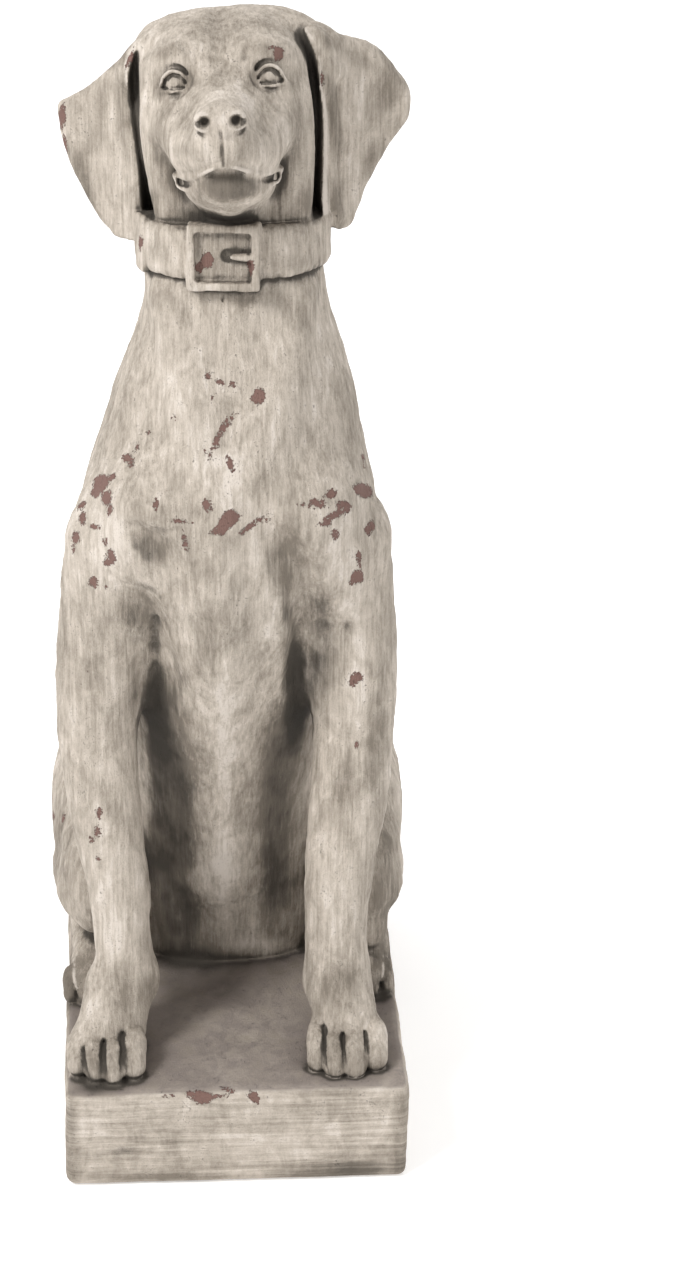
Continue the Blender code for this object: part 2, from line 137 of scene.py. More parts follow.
class Ball:
    """An ellipsoid."""

    def __init__(self, at, size, turn=(0, 0, 0), frame=None):
        matrix = turn_matrix(turn)
        self.at, self.size = np.array(at, float), np.array(size, float)
        if frame:
            matrix = frame.to_3x3() @ matrix
            self.at = np.array(frame @ Vector(at))
        self.axes = np.array(matrix)
        half = np.sqrt(((self.axes * self.size) ** 2).sum(1))
        self.low, self.high = self.at - half, self.at + half

    def distance(self, x, y, z):
        p = (x - self.at[0], y - self.at[1], z - self.at[2])
        q = [sum(p[i] * self.axes[i, k] for i in range(3)) for k in range(3)]
        k0 = np.sqrt(sum((q[k] / self.size[k]) ** 2 for k in range(3)))
        k1 = np.sqrt(sum((q[k] / self.size[k] ** 2) ** 2 for k in range(3)))
        return k0 * (k0 - 1) / np.maximum(k1, 1e-6)


class Limb:
    """A limb through rows of x, y, z and radius, its section round, or stretched along y."""

    def __init__(self, points, frame=None, steps=5, stretch=1):
        if frame:
            points = [(*(frame @ Vector(row[:3])), row[3]) for row in points]
        self.stretch = stretch
        self.rows = smooth_rows(points, steps)
        radius = self.rows[:, 3:4] * (1, stretch, 1)
        self.low = (self.rows[:, :3] - radius).min(0)
        self.high = (self.rows[:, :3] + radius).max(0)
        self.rows[:, 1] /= stretch

    def distance(self, x, y, z):
        y = y / self.stretch
        best = None
        for a, b in zip(self.rows[:-1], self.rows[1:]):
            d = b - a
            length = max(float(d[:3] @ d[:3]), 1e-9)
            px, py, pz = x - a[0], y - a[1], z - a[2]
            t = np.clip((px * d[0] + py * d[1] + pz * d[2]) / length, 0, 1)
            off = (px - t * d[0]) ** 2 + (py - t * d[1]) ** 2 + (pz - t * d[2]) ** 2
            off = np.sqrt(off) - (a[3] + t * d[3])
            best = off if best is None else np.minimum(best, off)
        return best


class Trunk:
    """Level sections: rows of level, centre x, half width, front y, back y and squareness."""

    def __init__(self, rows):
        self.rows = r = smooth_rows(rows, 12)
        self.low = np.array([(r[:, 1] - r[:, 2]).min(), r[:, 3].min(), r[:, 0].min()])
        self.high = np.array([(r[:, 1] + r[:, 2]).max(), r[:, 4].max(), r[:, 0].max()])

    def distance(self, x, y, z):
        r = self.rows
        level = np.ravel(z)
        columns = [np.interp(level, r[:, 0], r[:, k]).astype(np.float32) for k in range(1, 6)]
        centre, half, front, back, power = (column[None, None, :] for column in columns)
        crevice_shade, middle = (back - front) / 2, (back + front) / 2
        u, v = np.abs(x - centre) / half, np.abs(y - middle) / crevice_shade
        reach = (u**power + v**power) ** (1 / power)
        q = np.sqrt(u * u + v * v) + 1e-6
        local = (half * crevice_shade) / np.sqrt((crevice_shade * u / q) ** 2 + (half * v / q) ** 2)
        ends = np.maximum(r[0, 0] - z, z - r[-1, 0])
        return np.maximum((reach - 1) * local * 0.92, ends)


def moved(m, x, y, z):
    """A place in another frame, by its matrix."""
    return [m[k, 0] * x + m[k, 1] * y + m[k, 2] * z + m[k, 3] for k in range(3)]


class Slab:
    """A block with rounded edges, in a frame of its own."""

    def __init__(self, low, high, rounding, frame=None):
        low, high = np.array(low, float), np.array(high, float)
        self.centre, self.half = (low + high) / 2, (high - low) / 2 - rounding
        self.rounding = rounding
        self.inverse = np.array(frame.inverted()) if frame else None
        corners = [Vector(corner) for corner in itertools.product(*zip(low, high))]
        placed = np.array([frame @ corner if frame else corner for corner in corners])
        self.low, self.high = placed.min(0), placed.max(0)

    def distance(self, x, y, z):
        if self.inverse is not None:
            x, y, z = moved(self.inverse, x, y, z)
        q = [np.abs(p - self.centre[k]) - self.half[k] for k, p in enumerate((x, y, z))]
        out = np.sqrt(sum(np.maximum(k, 0) ** 2 for k in q))
        return out + np.minimum(np.maximum(np.maximum(q[0], q[1]), q[2]), 0) - self.rounding


class Strap:
    """An elliptical disc round the neck, of which only the band shows; it may be one arc."""

    def __init__(self, frame, half_x, half_y, width, rounding, arc=None):
        self.inverse = np.array(frame.inverted())
        self.half_x, self.half_y, self.width = half_x, half_y, width
        self.rounding, self.arc = rounding, arc
        reach = math.hypot(max(half_x, half_y), width)
        self.low = np.array(frame.translation) - reach
        self.high = np.array(frame.translation) + reach

    def distance(self, x, y, z):
        x, y, z = moved(self.inverse, x, y, z)
        side = np.sqrt((x / self.half_x) ** 2 + (y / self.half_y) ** 2) - 1
        side = side * min(self.half_x, self.half_y)
        band = smooth_max(side, np.abs(z) - self.width / 2, self.rounding)
        if self.arc:
            middle, spread = self.arc
            angle = np.abs(np.arctan2(x, -y) - math.radians(middle)) - math.radians(spread)
            band = smooth_max(band, angle * self.half_x, self.rounding)
        return band


def outline_distance(points, u, v):
    """Signed distance in a plane to a closed outline."""
    best, inside = None, None
    for a, b in zip(points, np.roll(points, -1, axis=0)):
        d = b - a
        wu, wv = u - a[0], v - a[1]
        t = np.clip((wu * d[0] + wv * d[1]) / (d @ d), 0, 1)
        off = (wu - t * d[0]) ** 2 + (wv - t * d[1]) ** 2
        best = off if best is None else np.minimum(best, off)
        if a[1] != b[1]:
            crossed = ((a[1] > v) != (b[1] > v)) & (u < d[0] * (v - a[1]) / (b[1] - a[1]) + a[0])
            inside = crossed if inside is None else inside ^ crossed
    return np.where(inside, -np.sqrt(best), np.sqrt(best))


class Leaf:
    """An ear: an outline in x and z, thick about a bent sheet y = depth(x, z)."""

    def __init__(self, outline, depth, thick, soft):
        self.outline = smooth_rows(outline + outline[:1], 4)[:-1]
        self.depth, self.thick, self.soft = depth, thick, soft
        self.low = np.array([self.outline[:, 0].min(), EARS_FRONT, self.outline[:, 1].min()])
        self.high = np.array([self.outline[:, 0].max(), EARS_BACK, self.outline[:, 1].max()])

    def distance(self, x, y, z):
        flat_x, flat_z = np.broadcast_arrays(x[:, 0, :], z[:, 0, :])
        flat = outline_distance(self.outline, flat_x, flat_z)
        across = (np.abs(y - self.depth(x, z)) - self.thick / 2) * 0.8
        return smooth_max(flat[:, None, :] * 0.95, across, self.soft)


def cell_corners(f):
    """The eight corners of a cell, and the weight of each at places f within it."""
    for corner in itertools.product((0, 1), repeat=3):
        w = np.abs(1 - np.array(corner) - f)
        yield corner, w[:, 0] * w[:, 1] * w[:, 2]


class Clay:
    """The distance field that the shapes are melted into."""

    def __init__(self, low, high, voxel):
        self.start, self.voxel = np.array(low, float), voxel
        self.count = [int(math.ceil((h - l) / voxel)) + 1 for l, h in zip(low, high)]
        self.field = np.full(self.count, FAR, np.float32)

    def window(self, shape, blend):
        """The cells that a shape can reach, and their places."""
        pad = 1.5 * blend + 5
        low = ((shape.low - pad - self.start) / self.voxel).astype(int)
        high = ((shape.high + pad - self.start) / self.voxel).astype(int) + 2
        low = np.clip(low, 0, self.count)
        high = np.clip(high, low, self.count)
        axes = [self.start[k] + self.voxel * np.arange(low[k], high[k]) for k in range(3)]
        axes = [axis.astype(np.float32) for axis in axes]
        where = tuple(slice(a, b) for a, b in zip(low, high))
        return where, np.meshgrid(*axes, indexing="ij", sparse=True)

    def add(self, shape, blend=0):
        where, points = self.window(shape, blend)
        self.field[where] = smooth_min(self.field[where], shape.distance(*points), blend)

    def cut(self, shape, blend=0):
        where, points = self.window(shape, blend)
        self.field[where] = smooth_max(self.field[where], -shape.distance(*points), blend)

    def mesh(self, name):
        """The surface of the field as a mesh, in units."""
        band = 3 * self.voxel
        grid = openvdb.FloatGrid(band)
        grid.copyFromArray(np.clip(self.field, -band, band))
        points, _, quads = grid.convertToPolygons(0.0, 0.0)
        made = bpy.data.meshes.new(name)
        points = points * self.voxel + self.start
        made.from_pydata(points, [], np.asarray(quads))
        return made

    def sample(self, points):
        """The field at points, between its cells; FAR outside it."""
        p = (points - self.start) / self.voxel
        cell = np.clip(np.floor(p).astype(int), 0, np.array(self.count) - 2)
        total = 0
        for corner, weight in cell_corners(np.clip(p - cell, 0, 1)):
            i = cell + corner
            total = total + weight * self.field[i[:, 0], i[:, 1], i[:, 2]]
        within = ((p >= 0) & (p <= np.array(self.count) - 1)).all(axis=1)
        return np.where(within, total, FAR)


# The figure. It faces -y, and left and right are as the photograph shows them.


TRUNK_ROWS = [
    (66, -3, 74, -12, 138, 2.6), (110, -3, 76, -20, 142, 2.5), (160, -3, 76, -32, 140, 2.4),
    (220, -3, 72, -50, 128, 2.3), (280, -3, 68, -78, 112, 2.2), (330, -3, 74, -104, 98, 2.2),
    (380, -2, 82, -126, 82, 2.2), (425, -1, 84, -136, 66, 2.2), (465, 1.5, 80, -135, 49, 2.2),
    (500, 3.5, 75, -127, 32, 2.1), (530, 5, 66, -118, 18, 2.1), (560, 5, 56.5, -110, 7, 2.0),
    (600, 3.5, 51.5, -102, 2, 2.0), (640, 3, 47, -84, 3, 2.0), (668, 3, 38, -62, 2, 2.0),
    (690, 3, 26, -48, -8, 2.0),
]
# Outlines of the ears, across and level, and how far forward and back the ears may reach
EARS_FRONT, EARS_BACK = -85, 25
LEFT_EAR = [
    (-38, 730), (-50, 721), (-64, 706), (-79, 690), (-90, 681), (-98, 675), (-98, 664), (-95, 649),
    (-92, 639), (-86, 626), (-81, 617), (-74, 607), (-67, 601), (-62, 600), (-54, 603), (-52, 619),
    (-50, 635), (-51, 659), (-54, 676), (-55, 694), (-50, 712),
]
RIGHT_EAR = [
    (45, 731), (53, 727), (62, 722), (75, 717), (90, 709), (101, 695), (109, 684), (111, 675),
    (110, 665), (104, 656), (98, 648), (89, 635), (83, 626), (80, 616), (75, 604), (69, 603),
    (64, 606), (58.5, 618), (55.5, 628), (54.5, 640), (55.5, 658), (55.5, 672), (53.5, 687),
    (52, 700), (50, 716), (45, 727),
]
FOREPAWS_X = (-82, 71)
# Toes of the forepaws: across, how far back, radius
LEFT_TOES = [(-101, 8, 6.6), (-90, 1, 7.2), (-78.5, -2, 7.2), (-66, 4, 8)]
RIGHT_TOES = [(52.5, 7, 7), (63, 0, 7), (75.5, 0, 7.6), (89.5, 7, 7.8)]
HINDPAW_X = 92
# An eye in the head's frame; the other is its mirror image
EYE_AT = (25, -38.5, 10.8)
EYE_TURN = 14
EYE_RADIUS = 9.5
HEAD = Matrix.Translation(HEAD_AT) @ turn_matrix(HEAD_TURN).to_4x4()
COLLAR = Matrix.Translation((3.5, -50, 604.5)) @ Matrix.Rotation(math.radians(-8), 4, "X")
COLLAR_HALF = (56, 56.5)
COLLAR_WIDTH = 31
BUCKLE = COLLAR @ Matrix.Rotation(math.radians(-7), 4, "Z")
BUCKLE = BUCKLE @ Matrix.Translation((0, -COLLAR_HALF[1], -0.8))


def shape_trunk(clay):
    clay.add(Trunk(TRUNK_ROWS))
    clay.add(Ball((2, -26, 664), (42, 34, 44)), 18)
    for s in (-1, 1):
        clay.add(Ball((s * 63, -62, 420), (27, 54, 62), (12, s * -6, 0)), 20)
        clay.add(Ball((s * 78, -60, 340), (22, 36, 54), (-16, 0, 0)), 16)
        clay.add(Ball((s * 40, -104, 452), (32, 32, 34), (0, 0, s * 14)), 16)
        cord = [(3 + s * 36, -84, 580, 9), (3 + s * 25, -104, 530, 12), (s * 12, -118, 480, 14)]
        clay.add(Limb(cord), 16)
    # the breastbone and the fur down the belly
    breastbone = [(-9, -125, 465, 13), (-9, -126, 430, 15), (-9, -121, 400, 15)]
    belly = [(-8, -101, 355, 17), (-7, -74, 300, 21), (-6, -40, 240, 26), (-5, -8, 150, 28)]
    clay.add(Limb(breastbone + belly[:1]), 12)
    clay.add(Limb(belly), 16)
    # hollows of the chest and armpits, and the fold over the left one
    hollow = [(-58, -132, 450, 6), (-50, -137, 444, 9), (-42, -138, 434, 9), (-38, -136, 420, 6)]
    clay.cut(Limb(hollow), 8)
    armpit = [(-78, -118, 402, 4), (-66, -116, 394, 7), (-54, -115, 386, 8)]
    clay.cut(Limb(armpit + [(-47, -104, 360, 6), (-45, -88, 324, 6)]), 20)
    clay.cut(Limb([(-80, -122, 404, 1), (-73, -123, 398, 2.5), (-66, -123, 396, 1)]), 4)
    armpit = [(20, -140, 456, 6), (28, -138, 442, 10), (36, -133, 424, 11)]
    clay.cut(Limb(armpit + [(43, -121, 398, 9), (45, -105, 366, 9), (42, -88, 328, 8)]), 9)
    clay.add(Limb([(-62, -118, 463, 5), (-48, -128, 461, 6), (-32, -132, 459, 5)]), 8)
    clay.cut(Limb([(-54, -134, 454, 1), (-42, -137, 452, 1.8), (-30, -139, 454, 1)]), 2.5)
    # the narrow gaps between the forelegs and the belly
    gap = [(-46, -110, 378, 1.5), (-47, -105, 352, 3.5), (-48, -96, 310, 4.5), (-50, -82, 262, 5)]
    clay.cut(Limb(gap, stretch=5), 4)
    gap = [(40, -112, 372, 1.5), (41, -108, 352, 3.5), (42.5, -98, 315, 4.5), (45, -84, 262, 5)]
    clay.cut(Limb(gap, stretch=5), 5)
    # the ridge of the back, as level and y
    ridge = [(640, 6), (600, 5), (560, 9), (530, 20), (500, 34), (465, 51), (425, 68)]
    ridge += [(380, 84), (330, 100), (280, 114), (220, 130), (160, 142), (100, 142)]
    clay.add(Limb([(3 - (640 - z) / 80, y - 13, z, 13) for z, y in ridge]), 10)


def shape_forelegs(clay):
    left = [(-74, -76, 420, 26), (-81, -67, 345, 26), (-84, -72, 295, 25.5), (-81, -84, 240, 23)]
    left += [(-74, -94, 190, 20), (-71, -99, 150, 18.5), (-70, -103, 118, 19), (-74, -114, 92, 17)]
    right = [(72, -76, 420, 26), (76, -67, 345, 26), (77, -72, 295, 26), (74, -84, 240, 24.5)]
    right += [(68, -94, 190, 21.5), (66, -99, 150, 20), (67, -103, 118, 20.5), (70, -112, 92, 18)]
    for s, leg, toes, dewclaw in ((-1, left, LEFT_TOES, 29), (1, right, RIGHT_TOES, 20)):
        x = FOREPAWS_X[s > 0]
        clay.add(Limb(leg), 14)
        clay.add(Ball((s * 85, -46, 322), (17, 22, 22)), 12)
        clay.add(Ball((x - s * dewclaw, -102, 119), (5, 7, 14), (-12, 0, 0)), 4)
        tendon = [(x - s * 14, -118, 300, 3), (x - s * 14, -122, 230, 4), (x - s * 8, -124, 175, 3)]
        clay.cut(Limb(tendon), 9)
        instep = [(x - s * 6, -104, 112, 15), (x + s * 5, -116, 96, 14), (x + s * 8, -128, 86, 12)]
        clay.add(Limb(instep), 10)
        clay.add(Limb([(x - s * 2, -105, 116, 15), (x, -121, 98, 11)]), 10)
        clay.add(Ball((x, -117, 83), (22, 22, 13), (-16, 0, 0)), 8)
        add_toes(clay, toes, -106, -144, 2)


def add_toes(clay, toes, root, front, blend):
    """Rounded toes side by side, from y = root forward to y = front, and the grooves between."""
    middle = sum(toe[0] for toe in toes) / len(toes)
    for x, back, radius in toes:
        near = middle + (x - middle) * 0.7
        tip = front - 5 + back
        arch = PLINTH_TOP + 2.6 * radius
        rows = [(near, root, arch - 6, radius - 1), (x, tip + 13, arch - 2, radius + 0.4)]
        rows += [(x, tip + 1, PLINTH_TOP + 1.3 * radius, radius + 0.2)]
        rows += [(x, tip - 0.5, PLINTH_TOP + 0.9 * radius, radius)]
        clay.add(Limb(rows), blend)
    for (x1, back1, r1), (x2, back2, r2) in zip(toes, toes[1:]):
        x = (x1 * r2 + x2 * r1) / (r1 + r2)
        tip = front - 5 + (back1 + back2) / 2
        near = middle + (x - middle) * 0.8
        high = PLINTH_TOP + 3.2 * (r1 + r2) / 2
        rows = [(near, tip + 44, high + 7, 0.2), (x, tip + 24, high + 1.5, 0.5)]
        rows += [(x, tip + 6, high - 4.5, 0.8), (x, tip - 5, high - 12, 0.9)]
        rows += [(x, tip - 9, PLINTH_TOP + 4, 0.9)]
        clay.cut(Limb(rows), 3)


def shape_hindlegs(clay):
    for s in (-1, 1):
        clay.add(Ball((s * 80, 60, 158), (39, 80, 78), (-16, 0, s * 4)), 14)
        clay.add(Ball((s * 88, -10, 148), (25, 42, 46), (-14, 0, 0)), 12)
        clay.add(Limb([(s * 96, -16, 134, 19), (s * 101, 40, 118, 18), (s * 97, 104, 104, 16)]), 8)
        clay.add(Ball((s * 95, 116, 98), (15, 17, 24)), 8)
        clay.add(Limb([(s * 93, 112, 90, 17), (s * 92, 30, 86, 16), (s * 91, -28, 88, 15)]), 6)
        clay.add(Ball((s * 92, -30, 99 + s * 12), (13, 18, 14 + s * 3)), 5)
        x = s * (HINDPAW_X - s * 2)
        clay.add(Ball((x, -42, 83), (14, 20, 12)), 6)
        toes = [(x + across, back, 5.4) for across, back in ((-12, 4), (-4, 0), (4, 0), (12, 4))]
        add_toes(clay, toes, -40, -54, 2)


def shape_tail(clay):
    path = [(0, 132, 122, 18), (12, 147, 98, 15), (48, 149, 86, 12.5), (84, 139, 83, 10)]
    clay.add(Limb(path + [(100, 108, 81, 7.5)]), 7)


def head_ball(at, size, turn=(0, 0, 0)):
    return Ball(at, size, turn, HEAD)


def head_limb(points, steps=5):
    return Limb(points, HEAD, steps)


def shape_skull(clay):
    clay.add(head_ball((0, 6, 9.5), (46, 54, 37)), 14)
    for s in (-1, 1):
        clay.add(head_ball((s * 15, 4, 16.5), (28.5, 46, 28)), 10)
        clay.add(head_ball((s * 16, -20, 16), (27, 27, 22)), 10)
        clay.add(head_limb([(s * 36, 8, 24, 16), (s * 41, 9, -24, 15), (s * 41, 4, -72, 13)]), 12)
        # cheek, which runs forward into the muzzle and down the side of the throat
        clay.add(head_limb([(s * 31, -8, 0, 18), (s * 26, -30, -12, 18), (s * 15, -58, -22, 18)]), 14)
        throat = [(s * 35, -12, -6, 15), (s * 35, -18, -34, 15), (s * 32, -15, -58, 14)]
        clay.add(head_limb(throat + [(s * 30, -8, -80, 12)]), 14)
        # brow, and the furrow over its inner end
        brow = [(s * 12, -42, 20, 4), (s * 21, -42, 26.5, 5), (s * 32, -36, 25, 5)]
        clay.add(head_limb(brow + [(s * 40, -26, 17, 4)]), 8)
        clay.cut(head_limb([(s * 13, -50, 19, 0.8), (s * 16, -49, 28, 1.6), (s * 23, -44, 36, 1)]), 5)
    clay.add(head_limb([(0, -24, 2, 24), (0, -60, -7, 19), (0, -92, -9, 14)]), 16)
    clay.cut(head_limb([(0, -57, 24, 2), (0, -45, 38, 4), (0, -14, 52, 5)]), 10)


def shape_jaw(clay):
    for s in (-1, 1):
        lip = [(s * 5, -92, -20, 12), (s * 10, -80, -24, 14), (s * 14, -62, -28, 15)]
        clay.add(head_limb(lip + [(s * 16, -44, -31, 14)]), 8)
    chin = [(0, -84, -42, 9.5), (0, -62, -46, 15), (0, -36, -50, 20), (0, -10, -64, 26)]
    clay.add(head_limb(chin), 6)
    for s in (-1, 1):
        clay.add(head_limb([(s * 7, -81, -42, 9), (s * 12, -62, -45, 12), (s * 14, -38, -48, 13)]), 6)
        # the line between the lips, which ends in a small curl at the corner
        line = [(0, -106, -31.5, 1.3), (s * 8.6, -101, -35.2, 1.4), (s * 18, -84, -40.6, 1.7)]
        line += [(s * 24, -66, -44, 2), (s * 28, -56, -42, 1.6)]
        clay.cut(head_limb(line, 6), 1.5)
        edge = [(0, -102, -29.5, 1), (s * 8.6, -97, -33, 1.1), (s * 18, -80, -38.4, 1.2)]
        edge += [(s * 26, -62, -40, 1.2), (s * 30, -54, -40, 1.1)]
        clay.add(head_limb(edge, 6), 2.5)
        curl = [(s * 30, -54, -40, 1.1), (s * 28.5, -57, -46, 1.2), (s * 23, -66, -47.5, 1)]
        clay.add(head_limb(curl), 3)
        dimple = [(s * 31, -52, -27, 0.8), (s * 32.5, -50, -34, 1.3), (s * 33, -47, -42, 1)]
        clay.cut(head_limb(dimple), 4)


def shape_nose(clay):
    clay.add(head_ball((0, -98, -5), (14, 10, 9), (-14, 0, 0)), 3)
    for s in (-1, 1):
        clay.add(head_ball((s * 8.8, -101, -5), (6.4, 7.5, 6.8)), 2)
        clay.add(head_limb([(s * 7, -102, -7, 5), (0, -104, -11, 4.2)]), 2.5)
    for s in (-1, 1):
        clay.cut(head_ball((s * 8.8, -111, -5.4), (4.1, 9, 3.8)), 1)
        slit = [(s * 11, -108, -6.5, 1.5), (s * 14.5, -102, -5.5, 1.2), (s * 16.5, -97, -2, 0.8)]
        clay.cut(head_limb(slit), 1)
        under = [(s * 14.5, -99, -9, 0.9), (s * 8, -106, -14, 1.2), (0, -109, -16.5, 1.3)]
        clay.cut(head_limb(under), 1.5)
    furrow = [(0, -111, 2, 0.6), (0, -111, -6, 0.8), (0, -109, -15, 0.9)]
    furrow += [(0, -106.5, -23, 0.9), (0, -104.5, -31, 0.9)]
    clay.cut(Limb(furrow, HEAD, 5, 3.5), 1)


def eye_rows(s, rows, lift):
    """Rows of across, up and radius, laid over the eyeball in the eye's own frame."""
    out = []
    for across, up, radius in rows:
        ahead = math.sqrt(max((EYE_RADIUS + lift) ** 2 - across**2 - up**2, 3))
        out.append((s * across, -ahead, up, radius))
    return out


def shape_eyes(clay):
    for s in (-1, 1):
        place = Matrix.Translation((s * EYE_AT[0], *EYE_AT[1:]))
        eye = HEAD @ place @ Matrix.Rotation(math.radians(s * EYE_TURN), 4, "Z")
        clay.cut(Ball((0, -12.5, 0.5), (11, 6, 8.5), (0, s * 12, 0), eye), 3)
        clay.add(Ball((0, 0, 0), (EYE_RADIUS,) * 3, (0, 0, 0), eye), 0.3)
        turns = np.linspace(0, 2 * math.pi, 13)
        iris = [(3.7 * math.sin(a), 0.6 + 3.7 * math.cos(a), 0.6) for a in turns]
        clay.cut(Limb(eye_rows(s, iris, -0.1), eye, 2), 0.4)
        # the lids
        upper = [(-8.8, -3.5, 1), (-7.6, 2, 1.3), (-3.4, 6, 1.6), (1.8, 6.6, 1.7)]
        upper += [(6, 3.2, 1.6), (8.6, -1.2, 1.4), (12, -5, 1)]
        lower = [(-8.8, -3.5, 1), (-4.5, -4.3, 1.2), (1.5, -4.6, 1.3), (7, -4.4, 1.2), (12, -5, 0.8)]
        clay.add(Limb(eye_rows(s, upper, 1.4), eye, 6), 0.8)
        clay.add(Limb(eye_rows(s, lower, 0.9), eye, 6), 1.5)
        # the line between the eyeball and its lids
        inner = [(-7.4, -2.6, 0.6), (-6, 1.6, 0.8), (-2.8, 4.4, 0.9)]
        inner += [(1.6, 4.8, 0.9), (5.2, 2.2, 0.8), (7.6, -2, 0.6)]
        clay.cut(Limb(eye_rows(s, inner, 0.4), eye, 6), 0.4)
        inner = [(-7.4, -2.6, 0.5), (-4, -2.9, 0.7), (1.2, -3.1, 0.7), (7.6, -2.4, 0.5)]
        clay.cut(Limb(eye_rows(s, inner, 0.3), eye, 6), 0.4)
        # the fold above the upper lid
        fold = [(-11, -4, 0.7), (-10, 3, 0.9), (-4.8, 8.4, 0.7), (2.2, 9.2, 0.7)]
        fold += [(8, 6, 0.9), (11, 0.5, 0.9), (14.5, -4.5, 0.7)]
        fold = [(x, y - 1.6, z, radius) for x, y, z, radius in eye_rows(s, fold, 2)]
        clay.cut(Limb(fold, eye, 6), 2)


def ear_depth(x, z):
    """The y of the middle of an ear: its front edge stands forward, its tip lies back."""
    out = np.abs(x - 3) - 46
    right = x > 0
    swell = np.sin(np.clip(out, 0, 60) / 60 * math.pi)
    folded = np.exp(-(((out - 17) / 7) ** 2))
    folded = folded * np.clip((z - 612) / 30, 0, 1) * np.clip((722 - z) / 30, 0, 1)
    root = 14 * np.clip((z - 690) / 50, 0, 1) ** 2
    return -60 + 0.8 * out + np.where(right, 9, 6) * swell + root + np.where(right, 5, 0) * folded


# The dark slots between the face and the ears, from the top down: across, level and radius
LEFT_SLOT = [
    (-49.5, 723, 1), (-51, 716, 2.2), (-52.6, 705, 3), (-52.6, 690, 3), (-51.9, 678, 1.9),
    (-51, 663, 1.6), (-49.3, 651, 1.9), (-47.8, 639, 2.6), (-46.2, 628, 3.6), (-45, 619, 4),
]
RIGHT_SLOT = [
    (43.5, 730, 1.2), (45.5, 723, 1.8), (48.6, 713, 2.4), (50, 703, 2.8), (51.3, 692, 2.8),
    (52.6, 682, 2.8), (53, 665, 3), (52.5, 650, 3), (51.7, 635, 3), (52.3, 624, 3), (54.5, 612, 2.6),
]
# The thick front edges of the ears, beside the slots: across and level
LEFT_RIM = [
    (-54, 716), (-58, 704), (-59, 691), (-57.5, 677), (-56, 662), (-54, 651), (-53.5, 640),
    (-53, 627), (-55, 612),
]
RIGHT_RIM = [
    (49, 728), (52.5, 724), (56, 717), (57.5, 706), (57.8, 695), (60.3, 683), (61.2, 669),
    (61, 655), (60, 636), (61.5, 627), (65, 613),
]


def shape_ears(clay):
    for outline, rim, thick in ((LEFT_EAR, LEFT_RIM, 4.2), (RIGHT_EAR, RIGHT_RIM, 5.6)):
        clay.add(Leaf(outline, ear_depth, 10, 4.5), 3)
        rows = [(x - math.copysign(1, x), float(ear_depth(x, z)) - 2, z, thick) for x, z in rim]
        rows[0] = (rows[0][0], rows[0][1] + 8, rows[0][2] - 4, 2.5)
        clay.add(Limb(rows), 3)
    # the roots of the ears, and the flesh behind the slots
    clay.add(Limb([(-26, -38, 719, 11), (-40, -44, 714, 8), (-54, -50, 703, 4)]), 12)
    clay.add(Limb([(26, -24, 720, 13), (42, -33, 719, 11), (52, -38, 717, 9), (62, -44, 703, 5)]), 12)
    for s in (-1, 1):
        behind = [(s * 44, -20, 690, 10), (s * 46, -22, 660, 10), (s * 48, -25, 632, 9)]
        clay.add(Limb(behind + [(s * 49, -30, 606, 7)]), 8)
    for slot in (LEFT_SLOT, RIGHT_SLOT):
        clay.cut(Limb([(x, -62, z, r) for x, z, r in slot], steps=4, stretch=5.5), 1.5)


def shape_collar(clay):
    half_x, half_y = COLLAR_HALF
    clay.add(Strap(COLLAR, half_x, half_y, COLLAR_WIDTH, 2.5), 1)
    clay.add(Strap(COLLAR, half_x + 0.8, half_y + 0.8, COLLAR_WIDTH - 7, 3), 4)
    # the keeper that holds the strap's end
    clay.add(Strap(COLLAR, half_x + 2.5, half_y + 2.5, COLLAR_WIDTH + 3, 2, (-74, 9)), 1)
    frame = Slab((-21.5, -4.5, -19.8), (21.5, 9, 19.8), 2.2, BUCKLE)
    window = Slab((-16.3, -12, -14.2), (16.3, 1.5, 14.2), 1.5, BUCKLE)
    clay.add(frame, 0.6)
    clay.cut(window, 1.2)
    # the prong and the hole under it
    clay.add(Limb([(17, -1.5, 0, 2.4), (11, -1.8, 0.5, 2.6), (3.5, -0.8, 0.5, 2.2)], BUCKLE), 1.2)
    clay.cut(Ball((2, 0.5, 0.5), (3.5, 3, 3.5), (0, 0, 0), BUCKLE), 1)


def shape_plinth(clay):
    w, d = PLINTH_HALF
    clay.add(Slab((-w, -d, 0), (w, d, PLINTH_TOP), 6.5), 2.5)


# The head with its collar is modelled in finer clay than the body. The two meet inside the collar,
# where each runs a little way past the other.
JOIN = 3
BODY_CLAY = (-132, -178, -9), (132, 178, 660)
HEAD_CLAY = (-132, -178, 560), (132, 60, 762)


def model_body():
    clay = Clay(*BODY_CLAY, BODY_CELL)
    for shape in (shape_trunk, shape_forelegs, shape_hindlegs, shape_tail, shape_plinth):
        shape(clay)
    clay.cut(Slab((-100, -100, JOIN), (100, 100, 150), 0.5, COLLAR))
    return clay


def model_head():
    clay = Clay(*HEAD_CLAY, HEAD_CELL)
    shape_trunk(clay)
    clay.cut(Slab((-150, -150, -120), (150, 150, -JOIN), 0.5, COLLAR))
    for shape in (shape_skull, shape_jaw, shape_nose, shape_eyes, shape_ears, shape_collar):
        shape(clay)
    return clay


class Lattice:
    """Smooth random values in space, from -1 to 1, that repeat after SIZE cells."""

    SIZE = 32

    def __init__(self, seed):
        self.values = np.random.default_rng(seed).uniform(-1, 1, (self.SIZE,) * 3)

    def at(self, points):
        cell = np.floor(points).astype(int)
        f = points - cell
        total = 0
        for corner, weight in cell_corners(f * f * (3 - 2 * f)):
            i = (cell + corner) % self.SIZE
            total = total + weight * self.values[i[:, 0], i[:, 1], i[:, 2]]
        return total


def read(mesh, what):
    values = np.empty(len(mesh.vertices) * 3, np.float32)
    mesh.vertices.foreach_get(what, values)
    return values.reshape(-1, 3).astype(float)


def write_points(mesh, points):
    mesh.vertices.foreach_set("co", points.astype(np.float32).ravel())
    mesh.update()


